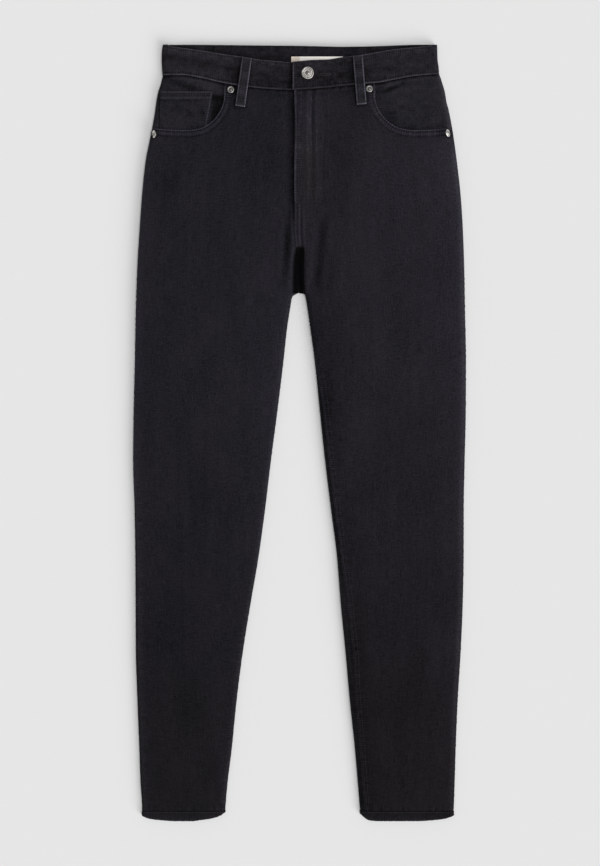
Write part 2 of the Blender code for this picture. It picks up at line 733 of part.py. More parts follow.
def hardware():
    r, h = BUTTON_DIA / 2, BUTTON_HIGH
    band = band_top(10.9, True) + GAP
    turned(
        "button",
        ((0, 0), (0.55 * r, 0), (0.5 * r, 0.45 * h), (0.93 * r, 0.55 * h), (r, 0.72 * h),
         (0.95 * r, 0.95 * h), (0.82 * r, h), (0.70 * r, 0.84 * h), (0, 0.86 * h)),
        (10.7, LENGTH / 2 - 38.4, band), 0.0,
    )
    r, h = RIVET_DIA / 2, RIVET_HIGH
    dome = ((0, 0), (r, 0), (r, 0.35 * h), (0.8 * r, 0.8 * h), (0.45 * r, h), (0, h))
    for name, x, drop in (("rivet_top_R", -89.3, 59.3), ("rivet_top_L", 91.0, 58.2)):
        turned(name, dome, (x, LENGTH / 2 - drop, LOFT + LIFT + GAP), 0.0)
    for side, drop in (("R", 117.6), ("L", 116.6)):
        lean = math.radians(30.0)
        n = (math.sin(lean), math.cos(lean))
        size = math.hypot(FOLD * n[0], LOFT / 2 * n[1])
        x = float(outer(side, drop)) - FOLD + FOLD**2 * n[0] / size
        z = LOFT / 2 + (LOFT / 2) ** 2 * n[1] / size
        back = 2.5
        x, z = x + n[0] * GAP - n[1] * back, z + n[1] * GAP + n[0] * back
        s = SIDE[side]
        turned(f"rivet_side_{side}", dome, (s * x, LENGTH / 2 - drop, z), s * lean)


def main():
    for old in list(bpy.data.objects):
        bpy.data.objects.remove(old, do_unlink=True)
    jeans = bpy.data.objects.new("jeans", None)
    bpy.context.scene.collection.objects.link(jeans)
    for side in ("R", "L"):
        front_panel(side)
        back_panel(side)
        yoke(side)
        back_pocket(side)
        pocket_facing(side)
        hem(side)
    coin_pocket()
    fly_shield()
    waistband()
    front_loop("R", (-68.0, 17.8), (-77.0, 81.4))
    front_loop("L", (75.4, 15.0), (80.6, 78.6))
    for name, x in (("R", -105.0), ("L", 105.0), ("C", 0.0)):
        back_loop(name, x)
    label()
    hardware()


main()
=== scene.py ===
"""Looks of the high-waisted jeans laid flat: cloth shells, stitches, hardware,
materials, floor, light and camera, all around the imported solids.

Tables and distances are in millimetres, and meshes are made in metres. The
tables repeat the garment's own cut: an outline, its seams and its edges.
"""

import math

import bmesh
import bpy
import numpy as np
from mathutils import Matrix, Vector
from mathutils.bvhtree import BVHTree


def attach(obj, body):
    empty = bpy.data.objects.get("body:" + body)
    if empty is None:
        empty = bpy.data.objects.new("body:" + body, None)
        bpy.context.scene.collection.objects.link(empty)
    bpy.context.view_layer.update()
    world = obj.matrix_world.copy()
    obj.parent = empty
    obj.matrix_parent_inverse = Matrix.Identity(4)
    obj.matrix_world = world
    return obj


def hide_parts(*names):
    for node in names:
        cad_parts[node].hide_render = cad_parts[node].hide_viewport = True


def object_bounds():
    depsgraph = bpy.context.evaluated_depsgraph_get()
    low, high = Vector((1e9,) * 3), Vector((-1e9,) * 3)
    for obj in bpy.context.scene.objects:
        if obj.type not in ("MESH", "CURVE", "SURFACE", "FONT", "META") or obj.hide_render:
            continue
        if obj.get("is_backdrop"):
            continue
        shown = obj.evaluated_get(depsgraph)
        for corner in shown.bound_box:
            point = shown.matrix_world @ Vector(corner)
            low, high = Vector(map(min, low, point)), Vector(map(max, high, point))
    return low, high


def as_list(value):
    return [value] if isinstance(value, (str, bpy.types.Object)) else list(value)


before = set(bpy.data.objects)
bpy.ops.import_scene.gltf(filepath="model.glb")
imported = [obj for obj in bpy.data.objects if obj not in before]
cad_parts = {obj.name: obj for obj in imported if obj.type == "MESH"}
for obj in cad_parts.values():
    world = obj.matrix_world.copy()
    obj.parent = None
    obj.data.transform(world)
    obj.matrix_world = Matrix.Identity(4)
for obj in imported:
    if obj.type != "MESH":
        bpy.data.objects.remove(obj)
CAD_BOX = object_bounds()

MM = 0.001
# ------------------------------------------------------------- the cut (mm)
LENGTH = 1007.8
FOLD = 6.5             # how far a rounded fold reaches in
CLOTH = 1.3
BAND = 2.2
LOOP_WIDTH = 12.6
GAP = 0.3
LIFT = 1.8
RAMP = 27.0
CROTCH = 322.0
HEM_TOP = 995.2
POCKET_TOP = 61.6
LAP_EDGE = -9.0
UNDERLAP = 22.0

# Height of the laid tube: drop, height at the folds, extra in the middle
LOFT = (
    (0.0, 9.6, 0.4), (57.0, 10.6, 0.6), (130.0, 12.0, 1.2),
    (240.0, 13.0, 1.4), (330.0, 13.0, 1.6), (450.0, 12.0, 1.6),
    (620.0, 10.8, 1.5), (800.0, 9.8, 1.2), (960.0, 8.8, 0.9),
    (1007.8, 8.2, 0.6),
)
OUTER = (
    (40.0, 177.7, 182.2), (51.0, 180.3, 185.9), (61.4, 183.7, 188.9),
    (71.8, 185.8, 190.7), (92.6, 188.8, 195.5), (117.3, 193.4, 199.8),
    (155.0, 200.7, 205.0), (196.6, 204.9, 209.6), (238.2, 207.9, 212.3),
    (290.2, 211.0, 214.2), (344.8, 212.9, 215.2), (415.0, 214.2, 216.5),
    (477.4, 215.7, 216.2), (539.8, 216.5, 214.8), (602.2, 214.6, 213.6),
    (664.6, 213.6, 213.5), (727.0, 213.2, 212.3), (789.4, 212.9, 209.6),
    (851.8, 210.9, 205.8), (914.2, 208.5, 203.2), (961.0, 206.8, 201.8),
    (992.2, 204.8, 200.7), (1007.8, 205.3, 199.8),
)
INNER = (
    (324.0, 4.4, 6.0), (326.6, 8.7, 7.5), (331.8, 10.5, 8.5),
    (337.0, 11.3, 9.4), (368.2, 16.2, 13.9), (415.0, 21.4, 20.2),
    (477.4, 29.0, 26.5), (539.8, 37.1, 33.1), (602.2, 44.5, 40.7),
    (664.6, 53.0, 48.6), (727.0, 63.6, 53.6), (789.4, 73.6, 59.8),
    (851.8, 81.6, 65.3), (914.2, 87.9, 71.9), (961.0, 93.6, 75.9),
    (992.2, 96.3, 78.5), (1007.8, 97.6, 79.7),
)
SEAMS = (
    (40.0, 0.0, 0.0, 0.0, 0.0), (345.0, 0.0, 0.0, 0.0, 0.0),
    (415.0, 0.0, 0.0, 0.0, 5.0), (473.0, 0.0, 0.0, 0.0, 8.8),
    (540.0, 3.0, 0.0, 0.6, 8.9), (600.0, 6.0, 0.0, 1.2, 8.8),
    (664.0, 7.0, 0.0, 1.5, 9.2), (727.0, 7.3, 0.0, 1.8, 13.0),
    (787.0, 7.3, 0.0, 2.0, 13.4), (855.0, 7.0, 0.0, 2.0, 11.2),
    (932.0, 6.6, 0.0, 2.0, 9.6), (1007.8, 6.4, 0.0, 2.0, 9.2),
)
# Centre front: drop, X of the edge, then the valley between the legs: X of its
# middle, depth, half width of its floor
RISE = (
    (40.0, -7.1, 3.0, 0.0, 0.2), (232.0, -7.1, 3.0, 0.0, 0.2),
    (246.0, -6.9, 2.6, 0.0, 0.4), (254.0, -6.4, 1.6, 0.5, 0.8),
    (261.0, -5.6, 0.6, 2.2, 2.0), (269.0, -4.6, -0.6, 7.6, 3.8),
    (281.0, -3.4, -1.6, 10.4, 4.6), (304.0, -2.2, -2.2, 10.7, 5.0),
    (322.0, -1.2, -1.6, 10.3, 5.6),
)
WAIST = (
    (-180.0, 0.8, 40.3, 0.3, 40.3), (-154.0, 4.8, 40.2, 1.0, 41.0),
    (-128.0, 8.5, 44.0, 1.6, 41.8), (-102.0, 12.8, 50.0, 1.9, 42.4),
    (-75.0, 16.6, 54.5, 2.2, 42.9), (-49.0, 20.6, 57.6, 2.5, 43.2),
    (-25.0, 22.6, 59.2, 2.7, 43.4), (-9.0, 23.5, 59.7, 2.8, 43.5),
    (13.0, 21.7, 58.6, 3.2, 43.5), (39.0, 20.2, 56.2, 3.8, 43.2),
    (56.0, 17.2, 54.3, 4.1, 42.9), (82.0, 13.8, 51.7, 3.8, 42.3),
    (102.0, 10.5, 50.2, 3.3, 41.8), (120.0, 7.4, 46.8, 2.6, 41.2),
    (150.0, 4.2, 41.4, 1.2, 39.8), (183.0, 0.8, 38.6, 0.0, 39.1),
)
BAND_EDGE = (
    (0.0, 178.0, 179.0), (10.0, 179.1, 179.2), (20.0, 179.3, 179.6),
    (30.0, 178.9, 181.0), (45.0, 178.0, 182.2),
)
MOUTH = (
    (0.0, 48.0), (0.01, 72.0), (0.10, 90.9), (0.21, 102.0),
    (0.36, 109.6), (0.55, 112.0), (0.78, 111.2), (1.0, 109.8),
)
MOUTH_START = 97.2
HEM_EDGE = (
    (0.0, 996.6, 998.6), (0.09, 1002.2, 1006.6), (0.18, 1004.8, 1007.8),
    (0.30, 1006.5, 1007.8), (0.40, 1007.8, 1007.8), (0.60, 1007.8, 1007.8),
    (0.80, 1006.4, 1006.4), (0.90, 1005.0, 1004.8), (1.0, 1001.6, 1001.0),
)
YOKE_SIDE, YOKE_CENTRE = 78.0, 106.0
BACK_POCKET = ((28.0, 118.0), (158.0, 108.0), (152.0, 222.0), (98.0, 248.0), (38.0, 230.0))

# Soft folds of the fronts: X and drop at both ends, bow, half width, depth
FRONT_CREASES = (
    (-15.0, 206.0, -22.6, 326.0, 2.0, 4.2, 2.9),
    (31.6, 210.0, 18.0, 330.0, 1.5, 5.0, 2.6),
    (4.0, 232.0, 22.0, 238.0, 0.5, 1.8, 1.0),
    (5.0, 239.0, 17.0, 256.0, 0.5, 2.2, 1.1),
    (8.0, 224.0, 20.0, 222.0, -0.5, 1.8, 0.8),
    (-30.0, 262.0, -26.0, 330.0, -2.0, 9.0, 0.8),
    (34.0, 262.0, 27.0, 345.0, 2.0, 10.0, 0.8),
    (-60.0, 300.0, -28.0, 372.0, 3.0, 12.0, 0.5),
    (66.0, 306.0, 30.0, 384.0, -3.0, 13.0, 0.5),
    (-150.0, 132.0, -182.0, 196.0, 3.0, 14.0, 0.6),
    (150.0, 134.0, 186.0, 190.0, -3.0, 13.0, 0.6),
    (-44.0, 92.0, -20.0, 168.0, 2.0, 16.0, 0.5),
    (66.0, 112.0, 44.0, 196.0, -2.0, 18.0, 0.5),
    (-118.0, 560.0, -74.0, 622.0, 4.0, 16.0, 0.6),
    (104.0, 548.0, 62.0, 630.0, -4.0, 17.0, 0.6),
    (-190.0, 610.0, -150.0, 668.0, -3.0, 12.0, 0.5),
    (196.0, 590.0, 158.0, 650.0, 3.0, 12.0, 0.5),
    (-160.0, 452.0, -120.0, 640.0, 5.0, 22.0, 0.5),
    (150.0, 430.0, 128.0, 690.0, -6.0, 24.0, 0.5),
    (-150.0, 720.0, -148.0, 930.0, 4.0, 17.0, 0.5),
    (140.0, 740.0, 138.0, 940.0, -4.0, 18.0, 0.5),
    (-110.0, 900.0, -126.0, 972.0, 2.0, 9.0, 0.5),
    (96.0, 890.0, 112.0, 968.0, -2.0, 10.0, 0.5),
)
BAND_CREASES = (
    (-124.0, 23.0, -80.0, 34.0, 1.0, 3.6, 1.0),
    (-168.0, 12.0, -140.0, 18.0, -1.0, 3.6, 0.7),
    (-60.0, 32.0, -38.0, 48.0, 1.0, 4.5, 0.7),
    (-150.0, 26.0, -120.0, 30.0, 0.5, 3.4, 0.6),
    (96.0, 24.0, 128.0, 36.0, 1.0, 4.0, 0.7),
    (130.0, 18.0, 168.0, 24.0, 1.0, 3.8, 0.8),
    (40.0, 30.0, 62.0, 44.0, 1.0, 4.2, 0.6),
)
SIDE = {"R": -1.0, "L": 1.0}
COLUMN = {"R": 1, "L": 2}


# ------------------------------------------------------------ table look-ups
def look(table, column, at):
    """A table's column as a smooth monotone curve over its first column."""
    xs = np.array([row[0] for row in table])
    ys = np.array([row[column] for row in table])
    at = np.clip(np.asarray(at, float), xs[0], xs[-1])
    step = np.diff(xs)
    slope = np.diff(ys) / step
    tangent = np.concatenate([[slope[0]], np.zeros(len(xs) - 2), [slope[-1]]])
    for i in range(1, len(xs) - 1):
        if slope[i - 1] * slope[i] > 0:
            tangent[i] = 2 * slope[i - 1] * slope[i] / (slope[i - 1] + slope[i])
    i = np.clip(np.searchsorted(xs, at) - 1, 0, len(xs) - 2)
    t = (at - xs[i]) / step[i]
    return (
        ys[i] * (2 * t**3 - 3 * t**2 + 1)
        + step[i] * tangent[i] * (t**3 - 2 * t**2 + t)
        + ys[i + 1] * (3 * t**2 - 2 * t**3)
        + step[i] * tangent[i + 1] * (t**3 - t**2)
    )


def ease(value):
    value = np.clip(value, 0.0, 1.0)
    return value * value * (3 - 2 * value)


def wave(s, seed, pitch):
    """Uneven ripple along a seam, from -1 to 1."""
    a = np.sin(2 * np.pi * s / pitch + 1.9 * np.sin(2 * np.pi * s / (pitch * 5.3) + seed))
    b = 0.62 + 0.38 * np.sin(2 * np.pi * s / (pitch * 3.7) + 2.3 * seed)
    return a * b


def tube_height(drop):
    return look(LOFT, 1, drop)


def quarter(drop):
    return 0.5 * np.pi * np.sqrt((FOLD**2 + (tube_height(drop) / 2) ** 2) / 2)


def fold_mid(drop):
    """Height of a fold's outermost line: folds sit low on the surface."""
    return tube_height(drop) * (0.5 - 0.14 * ease((drop - 60.0) / 140.0))


def outer(side, drop):
    return look(OUTER, COLUMN[side], drop)


def inner(side, drop):
    return look(INNER, COLUMN[side], drop)


def side_seam(side, drop):
    return look(SEAMS, 1 if side == "R" else 2, drop)


def inseam(side, drop):
    return look(SEAMS, 3 if side == "R" else 4, drop)


def front_seam(x):
    return look(WAIST, 2, x)


def back_seam(x):
    return look(WAIST, 4, x)


def is_leg(drop):
    return np.asarray(drop) > CROTCH + 1.0


def yoke_seam(x):
    return YOKE_CENTRE + (YOKE_SIDE - YOKE_CENTRE) * np.minimum(np.abs(x) / 185.0, 1.0)


# --------------------------------------------------------- the laid surfaces
def crease_height(x, drop, table):
    """Soft troughs along bowed lines, each with a low swell beside it."""
    z = np.zeros(np.broadcast(x, drop).shape)
    for x0, d0, x1, d1, bow, width, depth in table:
        run = math.hypot(x1 - x0, d1 - d0)
        ux, ud = (x1 - x0) / run, (d1 - d0) / run
        t = ((x - x0) * ux + (drop - d0) * ud) / run
        off = (x - x0) * ud - (drop - d0) * ux - bow * np.sin(np.pi * np.clip(t, 0, 1))
        taper = ease(t / 0.35) * ease((1 - t) / 0.3)
        uneven = 0.8 + 0.2 * np.sin(9.0 * t + x0)
        p = off / width
        z += depth * taper * uneven * (
            -np.exp(-p * p) + 0.32 * np.exp(-((np.abs(p) - 2.0) ** 2) / 0.9)
        )
    return z


def swell(x, drop):
    """Slow uneven lie of the cloth."""
    return (
        0.30 * np.sin(x / 31.0 + 0.6 + 0.9 * np.sin(drop / 97.0))
        * np.sin(drop / 53.0 + 0.4 * np.sin(x / 47.0))
        + 0.22 * np.sin(x / 17.0 + drop / 71.0 + 1.1)
        * np.sin(drop / 139.0 + 0.8)
        + 0.12 * np.sin(drop / 19.0 + 1.3 * np.sin(x / 23.0))
    )


def floor_height(x, drop):
    edge = np.where(np.asarray(x) < 0, outer("R", drop), outer("L", drop)) - FOLD
    return (
        LIFT
        * (1 - ease((np.abs(x) - (edge - RAMP)) / RAMP))
        * (1 - ease((drop - 256.0) / 38.0))
    )


def middle(x, drop):
    """0 at the folds, 1 well in from them."""
    side = np.where(np.asarray(x) < 0, 0, 1)
    out = np.where(side == 0, outer("R", drop), outer("L", drop))
    into = np.where(side == 0, inner("R", drop), inner("L", drop))
    from_out = (out - FOLD - np.abs(x)) / 46.0
    from_in = (np.abs(x) - into - FOLD) / 34.0
    blend = ease((drop - 250.0) / 74.0)
    return ease(from_out) * (1 - blend * (1 - ease(from_in)))


def fly_raise(x, drop):
    """The fly stands on the zip and its facings, and the right front dips."""
    on = 1 - ease((drop - 204.0) / 34.0)
    edge = look(RISE, 1, drop)
    left = 2.1 * (1 - ease((x - 12.0) / 30.0))
    right = -2.6 * (1 - ease((edge - x) / 15.0))
    return on * np.where(x > edge, left, right)


def top_height(x, drop):
    """Height of the fronts' outer face."""
    x, drop = np.asarray(x, float), np.asarray(drop, float)
    mid = middle(x, drop)
    z = tube_height(drop) + mid * (look(LOFT, 2, drop) + swell(x, drop))
    z = z + crease_height(x, drop, FRONT_CREASES) * ease(mid * 4.0 + 0.15)
    z = z + fly_raise(x, drop)
    at, depth, half = (look(RISE, c, drop) for c in (2, 3, 4))
    p = np.clip((np.abs(x - at) - half) / FOLD, 0, 1)
    round_off = 1 - np.sqrt(np.clip(1 - (1 - p) ** 2, 0, 1))
    return np.where(is_leg(drop), z, z - depth * round_off)


def wrap(side, around, drop, under=False):
    """Points and outward directions on the tube, `around` mm from its outer
    edge, over the top or, with `under`, along the floor."""
    around, drop = np.broadcast_arrays(np.asarray(around, float), np.asarray(drop, float))
    sign = -1.0 if under else 1.0
    edge, mid = outer(side, drop), fold_mid(drop)
    above = tube_height(drop) - mid
    q = quarter(drop)
    centre = edge - FOLD
    leg = is_leg(drop)
    near = np.where(leg, inner(side, drop) + FOLD, -1e9)
    flat = np.where(leg, centre - near, 1e9)
    turn = np.clip(around / q, -1, 1) * np.pi / 2
    lift = sign * np.sin(turn)
    high = np.where(lift > 0, above, mid)
    x1, z1 = centre + FOLD * np.cos(turn), mid + high * lift
    n1 = np.stack([np.cos(turn) / FOLD, lift / high], -1)
    x2 = centre - (around - q)
    world = SIDE[side] * x2
    z2 = floor_height(world, drop) if under else top_height(world, drop)
    n2 = np.stack([np.zeros_like(x2), np.full_like(x2, sign)], -1)
    turn = np.clip((around - q - flat) / q, 0, 2) * np.pi / 2
    lift = sign * np.cos(turn)
    high = np.where(lift > 0, above, mid)
    x3, z3 = near - FOLD * np.sin(turn), mid + high * lift
    n3 = np.stack([-np.sin(turn) / FOLD, lift / high], -1)
    x4 = near + (around - 3 * q - flat)
    z4 = top_height(SIDE[side] * x4, drop) if under else np.zeros_like(x4)
    n4 = np.stack([np.zeros_like(x4), np.full_like(x4, -sign)], -1)
    zone = [around <= q, around <= q + flat, around <= 3 * q + flat]
    x = np.select(zone, [x1, x2, x3], x4)
    z = np.select(zone, [z1, z2, z3], z4)
    n = np.select([m[..., None] for m in zone], [n1, n2, n3], n4)
    n = n / np.linalg.norm(n, axis=-1, keepdims=True)
    s = SIDE[side]
    if not under:
        # the thick end of the pocket mouth stands up under its rivet
        cx, cd, tall, wide = (184.5, 117.3, 3.4, 5.0) if side == "R" else (187.0, 116.2, 4.6, 5.5)
        z = z + tall * np.exp(-((x - cx) / wide) ** 2 - ((drop - cd) / 9.0) ** 2) * np.clip(n[..., 1], 0, 1)
    return (
        np.stack([s * x, LENGTH / 2 - drop, z], -1),
        np.stack([s * n[..., 0], np.zeros_like(x), n[..., 1]], -1),
    )


def around_of(side, x, drop):
    return quarter(drop) + outer(side, drop) - FOLD - x


def inner_edge(side, drop):
    return 2 * quarter(drop) + outer(side, drop) - inner(side, drop) - 2 * FOLD


def mouth_line(side, count=161):
    """|X| and drop along the pocket mouth, from the waist seam to the fold."""
    share = np.linspace(0, 1, count) ** 1.6
    drop = look(MOUTH, 1, share)
    far = outer(side, drop) - FOLD
    x = MOUTH_START + share * (far - MOUTH_START)
    seam = front_seam(SIDE[side] * MOUTH_START)
    keep = drop > seam + GAP / 2
    x = np.concatenate([[MOUTH_START], x[keep]])
    drop = np.concatenate([[seam + GAP / 2], drop[keep]])
    return np.stack([x, drop], -1)


def mouth_drop(side, x):
    far = outer(side, 110.0) - FOLD
    return look(MOUTH, 1, (x - MOUTH_START) / (far - MOUTH_START))


def along_line(line, at):
    run = np.concatenate([[0], np.cumsum(np.linalg.norm(np.diff(line, axis=0), axis=1))])
    return np.stack([np.interp(at, run, line[:, k]) for k in range(line.shape[1])], -1), run[-1]


def from_line(points, line):
    """Distance to a polyline and how far along it the nearest point lies."""
    shape = points.shape[:-1]
    flat = points.reshape(-1, 2)
    best = np.full(len(flat), 1e9)
    where = np.zeros(len(flat))
    run = 0.0
    for a, b in zip(line[:-1], line[1:]):
        d = b - a
        size = float(np.hypot(*d))
        if size < 1e-9:
            continue
        t = np.clip(((flat - a) @ d) / size**2, 0, 1)
        away = np.hypot(*(flat - a - t[:, None] * d).T)
        closer = away < best
        best = np.where(closer, away, best)
        where = np.where(closer, run + t * size, where)
        run += size
    return best.reshape(shape), where.reshape(shape)


# ------------------------------------------------------------------- meshes
def normals_of(points, guide):
    """Unit normals of a grid, on the side that `guide` points to."""
    du = np.gradient(points, axis=1)
    dv = np.gradient(points, axis=0)
    n = np.cross(du, dv)
    size = np.linalg.norm(n, axis=-1, keepdims=True)
    n = np.where(size > 1e-9, n / np.maximum(size, 1e-9), guide)
    turn = np.sign((n * guide).sum(-1, keepdims=True))
    return n * np.where(turn == 0, 1, turn)


def raw_mesh(name, verts, faces, uv=None, seam=None, wear_and_shade=None, mats=(), index=None):
    mesh = bpy.data.meshes.new(name)
    faces = np.asarray(faces, np.int32)
    wide = faces.shape[1]
    mesh.vertices.add(len(verts))
    mesh.vertices.foreach_set("co", (np.asarray(verts) * MM).astype(np.float32).ravel())
    mesh.loops.add(faces.size)
    mesh.loops.foreach_set("vertex_index", faces.ravel())
    mesh.polygons.add(len(faces))
    mesh.polygons.foreach_set("loop_start", np.arange(0, faces.size, wide, dtype=np.int32))
    if index is not None:
        mesh.polygons.foreach_set("material_index", np.asarray(index, np.int32))
    mesh.update(calc_edges=True)
    mesh.validate()
    if uv is not None:
        layer = mesh.uv_layers.new(name="cloth")
        layer.data.foreach_set("uv", (np.asarray(uv)[faces.ravel()] * MM).astype(np.float32).ravel())
    if seam is not None:
        made = mesh.attributes.new("seam", "FLOAT_VECTOR", "POINT")
        made.data.foreach_set("vector", np.asarray(seam, np.float32).ravel())
    # per-point wear together with painted light and shade, read by the cloth shader
    if wear_and_shade is not None:
        made = mesh.attributes.new("wear_and_shade", "FLOAT", "POINT")
        made.data.foreach_set("value", np.asarray(wear_and_shade, np.float32).ravel())
    for mat in mats:
        mesh.materials.append(mat)
    mesh.shade_smooth()
    made = bpy.data.objects.new(name, mesh)
    bpy.context.scene.collection.objects.link(made)
    return made


def shell(name, points, guide, thick, uv, mat, seam=None, wear_and_shade=None, ring=False, roll=None):
    """A cloth shell from a grid of outer points. `roll` is each point's
    distance to a free edge, where the cloth turns over."""
    n = normals_of(points, guide)
    if ring:
        wide = np.concatenate([points[:, -3:], points, points[:, :3]], axis=1)
        gwide = np.concatenate([guide[:, -3:], guide, guide[:, :3]], axis=1)
        n = normals_of(wide, gwide)[:, 3:-3]
    into = points - n * thick
    if roll is not None:
        r = thick * 0.5
        e = np.clip(roll, 0, r)
        sink = (r - np.sqrt(np.maximum(r * r - (r - e) ** 2, 0)))[..., None]
        points = points - n * sink
        into = into + n * sink
    rows, cols = points.shape[:2]
    ids = np.arange(rows * cols).reshape(rows, cols)
    if ring:
        ids = np.concatenate([ids, ids[:, :1]], axis=1)
    a, b, c, d = ids[:-1, :-1], ids[:-1, 1:], ids[1:, 1:], ids[1:, :-1]
    out = np.stack([a, b, c, d], -1).reshape(-1, 4)
    back = out[:, ::-1] + rows * cols
    base = rows * cols

    def rim(line):
        p, q = line[:-1], line[1:]
        return np.stack([p, p + base, q + base, q], -1)

    rims = [rim(ids[0]), rim(ids[-1][::-1])]
    if not ring:
        rims += [rim(ids[::-1, 0]), rim(ids[:, -1])]
    faces = np.concatenate([out, back] + rims)
    # Which way the outer quads face settles all the rest.
    p = points.reshape(-1, 3)
    q = out[len(out) // 2]
    facing = np.cross(p[q[1]] - p[q[0]], p[q[3]] - p[q[0]])
    picks = out[:: max(1, len(out) // 400)]
    cross = np.cross(p[picks[:, 1]] - p[picks[:, 0]], p[picks[:, 3]] - p[picks[:, 0]])
    if (cross * n.reshape(-1, 3)[picks[:, 0]]).sum() < 0:
        faces = faces[:, ::-1]
    verts = np.concatenate([p, into.reshape(-1, 3)])
    flat = lambda v, k: None if v is None else np.tile(np.broadcast_to(v, (rows, cols) + k).reshape((-1,) + k), (2,) + (1,) * len(k))
    return raw_mesh(
        name, verts, faces, flat(uv, (2,)), flat(seam, (3,)),
        flat(np.zeros((rows, cols)) if wear_and_shade is None else wear_and_shade, ()), (mat,),
    )


def stack(*parts):
    return np.stack(np.broadcast_arrays(*parts), -1)


NEAR = np.array([0, 0.22, 0.5, 0.9, 1.5, 2.2, 3.0, 4.0, 5.0, 6.0, 7.0, 8.0, 9.2, 10.6, 12.2, 14.2])


def dense_line(total, step, first=True, last=True, near=NEAR):
    """Positions from 0 to total, close together at its ends."""
    a = near if first else np.array([0.0])
    b = total - near[::-1] if last else np.array([total])
    count = max(2, int(round((b[0] - a[-1]) / step)))
    return np.concatenate([a, np.linspace(a[-1], b[0], count + 1)[1:-1], b])


# ------------------------------------------------------------------ materials
def nodes_of(name):
    mat = bpy.data.materials.new(name)
    mat.use_nodes = True
    tree = mat.node_tree
    return mat, tree, tree.nodes["Principled BSDF"]


class Graph:
    """Short hand for wiring shader nodes."""

    def __init__(self, tree):
        self.tree = tree

    def node(self, kind, **values):
        made = self.tree.nodes.new(kind)
        for key, value in values.items():
            setattr(made, key, value)
        return made

    def feed(self, socket, value):
        if hasattr(value, "is_output") or isinstance(value, bpy.types.NodeSocket):
            self.tree.links.new(value, socket)
        else:
            socket.default_value = value

    def math(self, op, a, b=0.0, c=0.0, clamp=False):
        made = self.node("ShaderNodeMath", operation=op, use_clamp=clamp)
        for socket, value in zip(made.inputs, (a, b, c)):
            self.feed(socket, value)
        return made.outputs[0]

    def span(self, value, a, b, c=0.0, d=1.0, smooth=True):
        made = self.node("ShaderNodeMapRange", clamp=True)
        made.interpolation_type = "SMOOTHSTEP" if smooth else "LINEAR"
        for socket, v in zip(made.inputs, (value, a, b, c, d)):
            self.feed(socket, v)
        return made.outputs[0]

    def noise(self, vector, scale, detail=2.0, rough=0.5):
        made = self.node("ShaderNodeTexNoise")
        self.feed(made.inputs["Vector"], vector)
        made.inputs["Scale"].default_value = scale
        made.inputs["Detail"].default_value = detail
        made.inputs["Roughness"].default_value = rough
        return made.outputs["Fac"]

    def stretch(self, vector, scale):
        made = self.node("ShaderNodeVectorMath", operation="MULTIPLY")
        self.feed(made.inputs[0], vector)
        made.inputs[1].default_value = scale
        return made.outputs[0]

    def bump(self, height, strength, distance, normal=None):
        made = self.node("ShaderNodeBump")
        made.inputs["Strength"].default_value = strength
        made.inputs["Distance"].default_value = distance
        self.feed(made.inputs["Height"], height)
        if normal is not None:
            self.feed(made.inputs["Normal"], normal)
        return made.outputs["Normal"]

    def tint(self, colour, factor):
        """Colour times a number."""
        made = self.node("ShaderNodeVectorMath", operation="SCALE")
        self.feed(made.inputs[0], colour)
        self.feed(made.inputs["Scale"], factor)
        return made.outputs[0]

    def mix(self, factor, a, b):
        made = self.node("ShaderNodeMix", data_type="RGBA")
        self.feed(made.inputs["Factor"], factor)
        self.feed(made.inputs[6], a)
        self.feed(made.inputs[7], b)
        return made.outputs[2]


